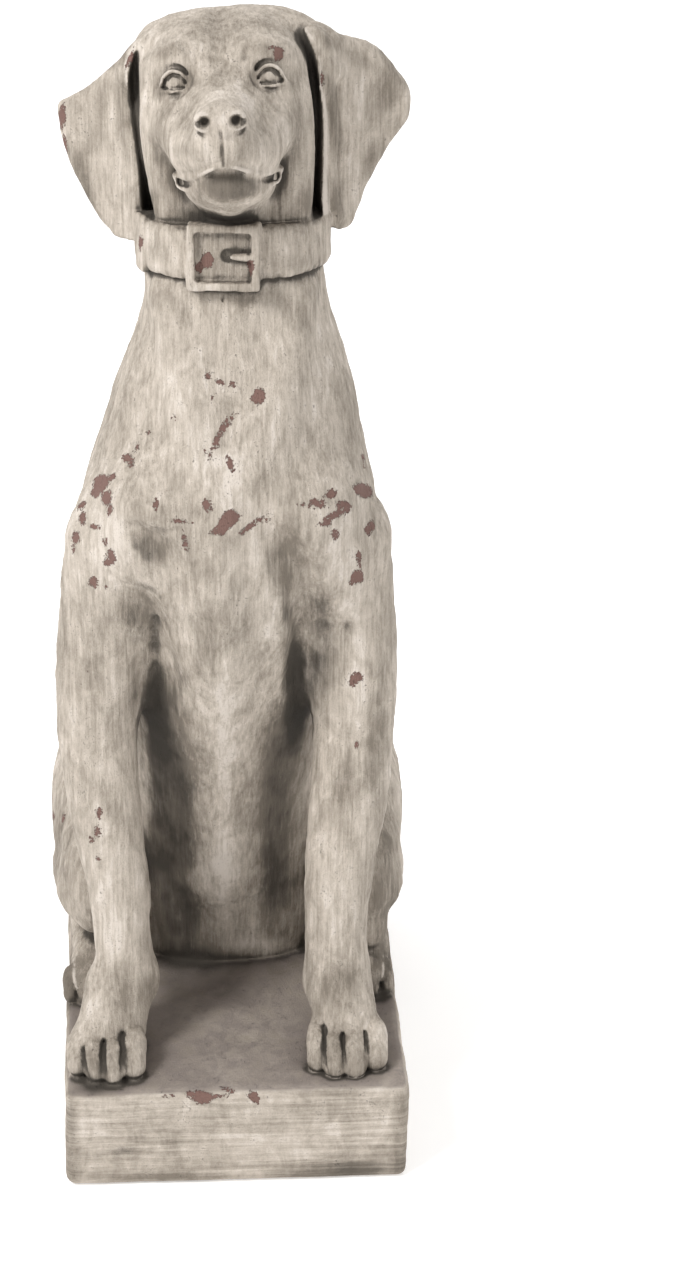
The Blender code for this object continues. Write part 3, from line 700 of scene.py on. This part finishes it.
def write_values(mesh, name, values):
    made = mesh.attributes.new(name, "FLOAT", "POINT")
    made.data.foreach_set("value", np.asarray(values, np.float32))


def roughen(mesh):
    """The unevenness of a hand-worked cast: broad dents, small lumps and the drag of the brush."""
    points, normals = read(mesh, "co"), read(mesh, "normal")
    on_plinth = np.clip((PLINTH_TOP + 3 - points[:, 2]) / 4, 0, 1)
    face = np.clip((points[:, 2] - 630) / 20, 0, 1) * np.clip((-20 - points[:, 1]) / 20, 0, 1)
    broad = Lattice(1).at(points / 26) * (0.7 + 0.5 * on_plinth)
    small = Lattice(2).at(points / 9) * 0.35
    drag = Lattice(3).at(points / (3.2, 3.2, 26)) * (1 - on_plinth)
    drag += Lattice(4).at(points / (30, 30, 3.4)) * on_plinth * 0.5
    grain = Lattice(5).at(points / 3.2) * 0.12
    height = (broad * 1.2 + small * 1.3) * (1 - 0.65 * face)
    height += (drag * 0.3 + grain * 1.4) * (1 - 0.4 * face)
    # the underside stays flat
    fade = np.clip(points[:, 2] / 6, 0, 1)
    write_points(mesh, points + normals * (height * fade)[:, None])


def mark_hollows(mesh, clays):
    """Dirt and painted shade in creases and hollows, wear and a painted highlight on edges: the clay
    in front of each point and behind it.
    """
    points, normals = read(mesh, "co"), read(mesh, "normal")
    for name, steps in (("crease", (2, 4, 6)), ("hollow", (10, 18, 30, 44))):
        shade = 0
        for step in steps:
            depth = np.minimum(*(clay.sample(points + normals * step) for clay in clays))
            shade = shade + np.clip(1 - depth / step, 0, 1) / len(steps)
        write_values(mesh, name, shade)
    edge = 0
    for step in (2.5, 4.5):
        depth = np.minimum(*(clay.sample(points - normals * step) for clay in clays))
        edge = edge + np.clip(1 + depth / step, 0, 1) / 2
    write_values(mesh, "edge", edge)


def camera_axes():
    """Right, down and forward of the photograph's camera."""
    yaw, pitch, roll = (math.radians(a) for a in (CAMERA_YAW, CAMERA_PITCH, CAMERA_ROLL))
    level = math.cos(pitch)
    forward = Vector((math.sin(yaw) * level, math.cos(yaw) * level, -math.sin(pitch)))
    right = Vector((math.cos(yaw), -math.sin(yaw), 0))
    down = forward.cross(right)
    tilted_right = right * math.cos(roll) + down * math.sin(roll)
    return tilted_right, down * math.cos(roll) - right * math.sin(roll), forward


# Chips down to the terracotta, as they lie in the photograph's pixels: centre across and down,
# half width, half height and turn in degrees
CHIPS = {
    "head": [
        (278, 53, 5, 7, 0), (272, 48, 4, 2, 0), (62, 116, 4, 10, 10), (65, 146, 2, 5, 0),
        (71, 165, 2, 5, 0), (130, 58, 2, 5, 20), (322, 80, 3, 6, 0), (405, 72, 2, 5, 0),
    ],
    "collar": [(208, 261, 6, 8, 0), (199, 268, 4, 5, 0), (251, 268, 3, 7, 0), (141, 243, 3, 6, 0)],
    "chest": [
        (259, 375, 3, 3, 0), (259, 396, 6, 8, 20), (254, 401, 4, 3, 0), (224, 427, 4, 7, 20),
        (217, 441, 4, 8, 15), (230, 418, 3, 4, 0), (212, 452, 2, 7, 25), (230, 464, 3, 6, -20),
        (128, 458, 7, 4, 20), (131, 463, 3, 6, 0), (207, 505, 5, 8, -20), (232, 517, 9, 7, -10),
        (222, 527, 6, 8, 30), (213, 533, 4, 3, 0), (248, 528, 14, 3, -38), (263, 520, 5, 2, 0),
        (185, 542, 3, 11, -15), (174, 418, 3, 3, 0), (148, 432, 3, 3, 0), (208, 375, 3, 3, 0),
        (221, 382, 5, 2, 10), (213, 398, 2, 4, 20), (232, 384, 4, 2, 10), (137, 448, 1.5, 4, 20),
        (235, 412, 1.5, 2, 0), (205, 452, 2, 3, 0), (156, 505, 3, 6, 0), (165, 510, 2, 2, 0),
        (178, 521, 12, 1.5, 5),
    ],
    "left shoulder": [
        (101, 483, 9, 9, 0), (110, 478, 6, 3, -20), (96, 492, 6, 6, 0), (106, 498, 6, 8, 20),
        (110, 511, 3, 5, 10), (82, 505, 5, 3, -20), (83, 519, 4, 7, 10), (94, 527, 6, 3, 20),
        (76, 538, 4, 6, 0), (74, 549, 2, 4, 0), (105, 541, 3, 4, 0), (111, 556, 4, 7, -15),
        (107, 563, 5, 4, 0), (93, 582, 5, 6, 0), (106, 585, 2, 3, 0), (86, 586, 2, 2, 0),
    ],
    "right shoulder": [
        (363, 490, 10, 7, 25), (344, 505, 9, 5, 15), (331, 494, 7, 4, -30), (318, 503, 8, 4, 15),
        (303, 505, 5, 2, 20), (336, 515, 10, 4, -20), (327, 522, 6, 3, -20), (335, 534, 4, 5, 0),
        (372, 526, 4, 8, 15), (366, 531, 3, 3, 0), (363, 457, 3, 3, 0), (363, 467, 4, 1, 0),
        (359, 556, 3, 4, 0), (357, 577, 7, 6, -30), (352, 582, 4, 3, 0), (360, 565, 2, 5, 0),
    ],
    "legs": [
        (357, 678, 6, 4, -30), (352, 684, 3, 3, -30), (357, 745, 3, 4, 0), (86, 670, 3, 2, 0),
        (90, 676, 2, 3, 0), (80, 683, 2, 2, 0), (100, 812, 3, 4, 0), (97, 832, 3, 6, 0),
        (99, 860, 2, 5, 0), (92, 840, 2, 4, 0), (53, 816, 3, 4, 0), (63, 818, 2, 4, 0),
    ],
    "plinth": [
        (204, 1098, 10, 7, 0), (190, 1094, 6, 2.5, 10), (228, 1090, 7, 2.5, 15),
        (218, 1096, 8, 2, 0), (255, 1097, 4, 7, -30), (172, 1096, 3, 2, 0), (166, 1096, 3, 1.5, 0),
    ],
}
# Clusters of a few more on the sides and back, as x, y, z and radius
HIDDEN_CHIPS = [
    (-84, 20, 440, 7), (-80, 34, 452, 4), (-86, 30, 428, 5), (86, 10, 446, 6), (80, 40, 420, 8),
    (72, 52, 436, 4), (20, 60, 480, 6), (-18, 64, 470, 5), (-6, 58, 492, 4), (118, 60, 190, 6),
    (121, 42, 176, 4), (-119, 70, 180, 7), (-120, 50, 160, 4), (40, 150, 70, 7), (48, 158, 68, 5),
    (-60, 165, 66, 6), (110, 90, 70, 6), (-110, 24, 60, 6), (-110, 100, 68, 7), (30, 128, 260, 6),
    (-40, 112, 300, 6), (-50, 104, 318, 4), (30, 0, 606, 5), (-20, 6, 600, 6),
]
CLUSTER_SHARES = (0.75, 0.6, 0.5, 0.35, 0.3)
CHIP_RANGE = 9


# Soft darker patches, partly real stains and partly painted shade in the chest hollows, armpits,
# nostrils
# and ear folds, and, where the strength is below zero, paler ones, in the photograph's pixels:
# centre across and down, half width, half height, turn in degrees and strength
SHADES = {
    "jaw": [
        (232, 188, 38, 16, 0, 1.3), (204, 121, 6, 6, 0, 1.3), (236, 119.5, 6, 6, 0, 1.3),
        (222, 152, 3, 14, 0, 0.6), (172, 182, 8, 14, 0, 0.5), (284, 172, 6, 22, 0, 0.5),
    ],
    "eyes": [
        (160, 90, 9, 14, 0, 0.5), (250, 84, 8, 14, 0, 0.5), (296, 82, 8, 14, 0, 0.4),
        (190, 80, 8, 18, 0, 0.3),
    ],
    "cheeks": [
        (160, 150, 12, 36, 0, 0.5), (296, 130, 10, 40, 0, 0.5), (186, 120, 10, 16, 0, 0.35),
        (262, 118, 10, 20, 0, 0.35), (184, 150, 16, 8, 0, 0.3),
    ],
    "brow": [
        (220, 26, 60, 16, 0, 0.4), (170, 52, 22, 8, -20, 0.5), (262, 48, 16, 8, 0, 0.4),
        (222, 70, 14, 20, 0, 0.35),
    ],
    "throat": [(230, 214, 60, 12, 0, 0.5), (150, 205, 12, 22, 0, 0.5), (312, 200, 12, 22, 0, 0.5)],
    "left ear": [
        (112, 56, 24, 12, -34, 0.6), (84, 180, 12, 50, -24, 0.5), (124, 110, 9, 60, 0, 0.6),
        (96, 120, 10, 40, 10, 0.3),
    ],
    "right ear": [
        (330, 40, 22, 10, 30, 0.5), (334, 120, 9, 60, -4, 0.8), (338, 205, 8, 34, 0, 0.6),
        (388, 86, 18, 30, 20, 0.4), (360, 60, 24, 10, 30, 0.4), (372, 160, 10, 30, 24, 0.4),
    ],
    "collar": [(160, 252, 20, 12, 0, 0.25), (290, 262, 40, 10, 0, 0.25), (222, 256, 26, 22, 0, 0.2)],
    "neck": [
        (160, 300, 20, 14, 0, 0.35), (255, 300, 40, 10, 0, 0.3), (110, 420, 16, 50, 20, 0.25),
        (345, 400, 14, 60, -10, 0.3),
    ],
    "chest": [
        (230, 470, 40, 40, 0, -0.3), (110, 560, 20, 60, 0, -0.3), (345, 560, 20, 60, 0, -0.3),
        (180, 470, 20, 20, 0, 0.3), (260, 480, 20, 26, 0, 0.3), (215, 620, 24, 60, 0, 0.25),
    ],
    "chest hollows": [
        (152, 548, 28, 20, 0, 0.55), (140, 612, 38, 26, 0, 0.5), (287, 562, 24, 40, 0, 0.6),
        (216, 540, 26, 16, 0, 0.25),
    ],
    "armpits": [(158, 720, 12, 70, 0, 0.9), (294, 700, 12, 70, 0, 1.0), (288, 640, 10, 50, 0, 0.5)],
    "belly": [
        (174, 830, 28, 170, 0, 1.1), (276, 840, 22, 150, 0, 0.9), (224, 780, 10, 190, 0, -0.5),
        (215, 960, 70, 14, 0, 0.7), (185, 930, 30, 40, 0, 0.5), (262, 948, 40, 12, 0, -0.6),
    ],
    "legs": [
        (92, 760, 12, 60, 0, 0.2), (345, 800, 18, 60, 0, 0.25), (375, 740, 10, 90, 0, 0.3),
        (120, 1000, 20, 40, 0, 0.2), (340, 1000, 20, 50, 0, 0.25),
    ],
    "paws": [
        (108, 1060, 44, 36, 0, 0.45), (345, 1060, 44, 36, 0, 0.4), (122, 985, 30, 30, 0, 0.3),
        (338, 985, 30, 30, 0, 0.3),
    ],
    "haunches": [
        (60, 860, 20, 70, 0, 0.4), (386, 900, 20, 110, 0, 0.75), (74, 985, 18, 34, 0, 0.6),
        (382, 985, 16, 40, 0, 0.5),
    ],
    "plinth": [
        (200, 990, 70, 24, 0, 0.55), (60, 1000, 20, 70, 0, 0.5), (330, 1172, 80, 16, -4, 0.9),
        (402, 1140, 14, 60, 0, 0.6), (70, 1150, 12, 60, 0, 0.6), (150, 1176, 90, 8, 0, 0.5),
        (230, 1140, 60, 8, 0, -0.4), (95, 1092, 36, 6, 0, 0.4), (340, 1094, 40, 6, 0, 0.4),
    ],
}


def mark_chips(mesh):
    """How deep each point is inside a chip, in units; negative outside."""
    points = read(mesh, "co")
    right, down, forward = (np.array(axis) for axis in camera_axes())
    seen = BVHTree.FromPolygons(points, [p.vertices for p in mesh.polygons])
    eye = CAMERA_AT / UNIT
    inside = np.full(len(points), -float(CHIP_RANGE))
    for u, v, half_u, half_v, turn in itertools.chain(*CHIPS.values()):
        across = (u - PHOTO_WIDTH / 2) / PHOTO_FOCAL
        drop = (v - PHOTO_HEIGHT / 2) / PHOTO_FOCAL
        way = Vector(forward + across * right + drop * down).normalized()
        hit, _, _, distance = seen.ray_cast(eye, way)
        if hit is None:
            continue
        pixel = distance / PHOTO_FOCAL
        off = points - np.array(hit)
        c, s = math.cos(math.radians(turn)), math.sin(math.radians(turn))
        a, b = off @ right, off @ down
        a, b = a * c + b * s, b * c - a * s
        reach = np.sqrt((a / (half_u * pixel)) ** 2 + (b / (half_v * pixel)) ** 2)
        near = np.abs(off @ forward) < 3 * max(half_u, half_v) * pixel + 6
        depth = (1 - reach) * min(half_u, half_v) * pixel
        inside = np.where(near, np.maximum(inside, depth), inside)
    draw = np.random.default_rng(11)
    for x, y, z, radius in HIDDEN_CHIPS:
        for share in CLUSTER_SHARES:
            place = np.array((x, y, z)) + draw.normal(0, 0.75 * radius, 3)
            hit = seen.find_nearest(Vector(place), 25)[0]
            if hit is None:
                continue
            off = np.linalg.norm((points - np.array(hit)) / (1, 1, 1.5), axis=1)
            inside = np.maximum(inside, share * radius - off)
    write_values(mesh, "chip", np.clip(inside, -CHIP_RANGE, CHIP_RANGE))


def mark_shades(mesh):
    """Where the paint is darker or paler, partly as real stains and partly as painted shade in
    hollows and folds, as soft ovals laid from the photograph's view.
    """
    points, normals = read(mesh, "co"), read(mesh, "normal")
    right, down, forward = (np.array(axis) for axis in camera_axes())
    off = points * UNIT - np.array(CAMERA_AT)
    ahead = off @ forward
    u = PHOTO_WIDTH / 2 + PHOTO_FOCAL * (off @ right) / ahead
    v = PHOTO_HEIGHT / 2 + PHOTO_FOCAL * (off @ down) / ahead
    facing = np.clip(-(normals @ forward) * 3 + 0.3, 0, 1)
    shade = np.zeros(len(points))
    for at_u, at_v, half_u, half_v, turn, strength in itertools.chain(*SHADES.values()):
        c, s = math.cos(math.radians(turn)), math.sin(math.radians(turn))
        a, b = u - at_u, v - at_v
        a, b = (a * c + b * s) / half_u, (b * c - a * s) / half_v
        soft = np.clip(1.25 - np.sqrt(a * a + b * b), 0, 1)
        shade += strength * soft * soft * (3 - 2 * soft) * facing
    write_values(mesh, "shade", np.clip(shade, -1, 1))


def mark_regions(mesh):
    """The plinth, brushed level, and its top, which is darker."""
    points, normals = read(mesh, "co"), read(mesh, "normal")
    level = points[:, 2]
    write_values(mesh, "plinth", np.clip((PLINTH_TOP + 4 - level) / 4, 0, 1))
    on_top = np.clip((normals[:, 2] - 0.55) / 0.3, 0, 1)
    on_top = on_top * np.clip((PLINTH_TOP + 6 - level) / 5, 0, 1) * np.clip((level - 40) / 10, 0, 1)
    write_values(mesh, "top", on_top)


# Paint


class Number:
    """A number that varies over the surface. Its operators add Math nodes."""

    def __init__(self, paint, socket):
        self.paint, self.socket = paint, socket

    def __add__(self, other):
        return self.paint.maths("ADD", self, other)

    def __sub__(self, other):
        return self.paint.maths("SUBTRACT", self, other)

    def __mul__(self, other):
        return self.paint.maths("MULTIPLY", self, other)

    def __rsub__(self, other):
        return self.paint.maths("SUBTRACT", other, self)

    __radd__ = __add__
    __rmul__ = __mul__


class Paint:
    """A material under construction."""

    def __init__(self, name):
        self.material = bpy.data.materials.new(name)
        self.material.use_nodes = True
        self.tree = self.material.node_tree
        self.tree.nodes.clear()

    def node(self, kind, settings=None, **sockets):
        """A node of this type: its settings first, then its sockets, each by its name with _ for
        a space, or by i and its number."""
        made = self.tree.nodes.new("ShaderNode" + kind)
        for key, value in (settings or {}).items():
            setattr(made, key, value)
        for key, value in sockets.items():
            name = int(key[1:]) if key[1:].isdigit() else key.replace("_", " ")
            self.fill(made.inputs[name], value)
        return made

    def fill(self, socket, value):
        if isinstance(value, Number):
            value = value.socket
        if isinstance(value, bpy.types.NodeSocket):
            self.tree.links.new(value, socket)
        else:
            socket.default_value = value

    def maths(self, operation, a, b=0.0):
        made = self.node("Math", {"operation": operation}, i0=a, i1=b)
        return Number(self, made.outputs[0])

    def spread(self, value, low, high, soft=True):
        """0 below low and 1 above high, smooth between."""
        kind = {"interpolation_type": "SMOOTHSTEP" if soft else "LINEAR", "clamp": True}
        made = self.node("MapRange", kind, Value=value, From_Min=low, From_Max=high)
        return Number(self, made.outputs["Result"])

    def mix(self, first, second, share):
        """The second colour over the first, by a share from 0 to 1."""
        kind = {"data_type": "RGBA", "clamp_factor": True}
        return self.node("Mix", kind, Factor=share, i6=first, i7=second).outputs[2]

    def scaled(self, place, factors):
        made = self.node("VectorMath", {"operation": "MULTIPLY"}, i0=place, i1=factors)
        return made.outputs[0]

    def noise(self, place, scale, detail, roughness, distortion=0.0):
        made = self.node("TexNoise", None, Vector=place, Scale=scale, Detail=detail,
                         Roughness=roughness, Distortion=distortion)
        return Number(self, made.outputs[0])

    def value(self, name):
        """A value written on the mesh's points."""
        made = self.node("Attribute", {"attribute_type": "GEOMETRY", "attribute_name": name})
        return Number(self, made.outputs["Fac"])


PAINT_DEPTH = 0.0017
CHALK = (0.68, 0.61, 0.54, 1)
PALE = (0.54, 0.475, 0.405, 1)
GREY = (0.385, 0.335, 0.28, 1)
UMBER = (0.21, 0.178, 0.143, 1)
# the dark stain, also used as painted shade in creases and hollows
STAIN_AND_SHADOW = (0.062, 0.053, 0.043, 1)
MAUVE = (0.20, 0.168, 0.152, 1)
TERRACOTTA = (0.20, 0.118, 0.098, 1)


def aged_paint():
    """Pale grey paint over a dark stain over terracotta: streaked, pitted, worn and chipped, with
    painted shade in creases and hollows and a painted highlight on edges.
    """
    p = Paint("aged_cast_stone_paint")
    place = p.scaled(p.node("TexCoord").outputs["Object"], (UNITS_PER_METRE,) * 3)
    crease, hollow, edge = p.value("crease"), p.value("hollow"), p.value("edge")
    chip, shade = p.value("chip"), p.value("shade")
    plinth, top = p.value("plinth"), p.value("top")

    # brush strokes, which run down the dog and along the plinth, and patches, specks and grain
    upright = p.noise(p.scaled(place, (1, 0.4, 0.06)), 0.5, 6, 0.7, 0.3)
    level = p.noise(p.scaled(place, (0.035, 0.04, 1)), 0.4, 6, 0.68, 0.3)
    streak = upright * (1 - plinth) + level * plinth
    tall = p.noise(p.scaled(place, (1, 1, 0.4)), 0.03, 4, 0.6, 0.6)
    long = p.noise(p.scaled(place, (0.22, 0.22, 1)), 0.06, 4, 0.6, 0.6)
    broad = tall * (1 - plinth) + long * plinth
    patch = p.noise(p.scaled(place, (1, 1, 0.5)), 0.1, 6, 0.68, 0.5)
    speck = p.noise(place, 0.75, 3, 0.65)
    grain = p.noise(place, 2.0, 3, 0.6)

    # thin paint, darker where the brush left less of it, and a little darker in hollows and in the
    # stain and shade patches, partly as painted shade
    stain_and_shade = shade * (0.55 + patch * 0.5)
    cover = streak * 0.75 + patch * 0.85 + broad * 0.7 + speck * 0.2 - hollow * 0.2 - stain_and_shade * 0.5
    colour = p.mix(GREY, PALE, p.spread(cover, 1.1, 1.34))
    colour = p.mix(colour, CHALK, p.spread(cover, 1.29, 1.48))
    colour = p.mix(colour, UMBER, p.spread(0 - cover, -1.17, -0.88) * 0.9)
    colour = p.mix(colour, MAUVE, top * p.spread(streak + patch, 0.6, 1.15) * 0.85)

    # dirt and painted shade, gathered in creases and hollows and dragged downwards
    dirt_and_shade = crease * 1.1 + hollow * 0.45 + stain_and_shade * 0.9 - streak * 0.7 - patch * 0.35 - edge * 0.25
    colour = p.mix(colour, STAIN_AND_SHADOW, p.spread(dirt_and_shade, -0.15, 0.75) * 0.93)
    # painted shade in the narrowest creases: nostrils, eye lines, toe grooves and the buckle's window
    crevice_shade = p.spread(crease + (grain - 0.5) * 0.3, 0.3, 0.62)
    colour = p.mix(colour, STAIN_AND_SHADOW, crevice_shade * 0.8)
    pits = p.spread(speck, 0.61, 0.69) * p.spread(patch, 0.48, 0.62)
    colour = p.mix(colour, STAIN_AND_SHADOW, pits * 0.35)
    # paler worn edges, partly a painted highlight along the ridges
    wear_and_highlight = edge * 0.9 + streak * 0.6 + grain * 0.3 - crease * 0.8 - hollow * 0.6
    wear_and_highlight = p.spread(wear_and_highlight, 0.85, 1.15)
    colour = p.mix(colour, CHALK, wear_and_highlight * (1 - top * 0.7) * 0.75)

    # chips with ragged edges
    ragged = chip + (patch - 0.5) * 6 + (speck - 0.5) * 5
    bare = p.spread(ragged, -0.1, 0.3)
    colour = p.mix(colour, TERRACOTTA, bare)

    height = streak * 0.7 + grain * 0.2 + speck * 0.4 - pits * 0.7 - bare * 1.1
    bump = p.node("Bump", None, Strength=1.0, Distance=PAINT_DEPTH, Height=height)
    shader = p.node("BsdfPrincipled", None, Base_Color=colour, Roughness=0.9 - wear_and_highlight * 0.1,
                    Normal=bump.outputs[0])
    shader.inputs["Specular IOR Level"].default_value = 0.32
    p.node("OutputMaterial", None, Surface=shader.outputs[0])
    return p.material


# The studio, in metres


FLOOR_COLOUR = (0.92, 0.92, 0.92, 1)
FLOOR_HALF_WIDTH, FLOOR_FRONT, FLOOR_BACK = 6, -4, 3.2
BACKDROP_BEND, BACKDROP_TOP = 1.5, 6
AIR_LIGHT = 0.64
# Place, width and power of each lamp, and what they all point at
LAMPS = {
    "key": ((-1.5, -1.3, 2.4), 0.8, 56),
    "fill": ((1.8, -1.6, 1.2), 1.6, 9),
    "rim": ((0.6, 1.8, 2.0), 1.2, 14),
}
LIT_PLACE = Vector((0, 0, 0.4))


def floor_paint():
    """White, with a faint glow that keeps the far backdrop as pale as the floor."""
    p = Paint("studio_white")
    shader = p.node("BsdfPrincipled", None, Base_Color=FLOOR_COLOUR, Roughness=0.9,
                    Emission_Color=FLOOR_COLOUR, Emission_Strength=0.3)
    p.node("OutputMaterial", None, Surface=shader.outputs[0])
    return p.material


def make_floor():
    """A pale floor that rises into a backdrop far behind."""
    mesh = bpy.data.meshes.new("studio_floor")
    profile = [(FLOOR_FRONT, 0), (FLOOR_BACK, 0)]
    for a in np.linspace(0, math.pi / 2, 12)[1:]:
        out, up = BACKDROP_BEND * math.sin(a), BACKDROP_BEND * (1 - math.cos(a))
        profile.append((FLOOR_BACK + out, up))
    profile.append((FLOOR_BACK + BACKDROP_BEND, BACKDROP_TOP))
    points = [(x, y, z) for x in (-FLOOR_HALF_WIDTH, FLOOR_HALF_WIDTH) for y, z in profile]
    count = len(profile)
    mesh.from_pydata(points, [], [(i, i + count, i + count + 1, i + 1) for i in range(count - 1)])
    mesh.shade_smooth()
    floor = bpy.data.objects.new("studio_floor", mesh)
    bpy.context.scene.collection.objects.link(floor)
    mesh.materials.append(floor_paint())


def add_lamp(name, place, width, power):
    light = bpy.data.lights.new(name, "AREA")
    light.shape = "DISK"
    light.size, light.energy = width, power
    lamp = bpy.data.objects.new(name, light)
    bpy.context.scene.collection.objects.link(lamp)
    lamp.location = place
    lamp.rotation_euler = (LIT_PLACE - Vector(place)).to_track_quat("-Z", "Y").to_euler()


def light_studio():
    scene = bpy.context.scene
    world = bpy.data.worlds.new("studio_air")
    scene.world = world
    world.use_nodes = True
    air = world.node_tree.nodes["Background"]
    air.inputs["Color"].default_value = (1, 1, 1, 1)
    air.inputs["Strength"].default_value = AIR_LIGHT
    for name, settings in LAMPS.items():
        add_lamp(name, *settings)
    scene.view_settings.view_transform = "Standard"


def add_camera():
    data = bpy.data.cameras.new("photo_camera")
    camera = bpy.data.objects.new("photo_camera", data)
    bpy.context.scene.collection.objects.link(camera)
    data.sensor_width = SENSOR
    data.lens = SENSOR * PHOTO_FOCAL / PHOTO_HEIGHT
    right, down, forward = camera_axes()
    matrix = Matrix((right, -down, -forward)).transposed().to_4x4()
    matrix.translation = CAMERA_AT
    camera.matrix_world = matrix
    bpy.context.scene.camera = camera


def make_piece(name, clay, clays, paint):
    """One closed mesh of the statue, from its clay, thinned to TRIANGLES and painted."""
    mesh = clay.mesh(name)
    roughen(mesh)
    piece = bpy.data.objects.new(name, mesh)
    bpy.context.scene.collection.objects.link(piece)
    thin = piece.modifiers.new("triangles", "DECIMATE")
    triangles_before = 2 * len(mesh.polygons)
    thin.ratio = min(1, TRIANGLES / triangles_before)
    graph = bpy.context.evaluated_depsgraph_get()
    mesh = bpy.data.meshes.new_from_object(piece.evaluated_get(graph))
    piece.modifiers.clear()
    piece.data = mesh
    mark_hollows(mesh, clays)
    mark_chips(mesh)
    mark_shades(mesh)
    mark_regions(mesh)
    mesh.transform(Matrix.Scale(UNIT, 4))
    mesh.shade_smooth()
    mesh.materials.clear()
    mesh.materials.append(paint)
    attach(piece, "root")
    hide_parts(NODE)


def make_statue():
    body, head = model_body(), model_head()
    paint = aged_paint()
    make_piece("hound_body", body, (body, head), paint)
    make_piece("hound_head", head, (body, head), paint)


make_statue()
make_floor()
light_studio()
add_camera()
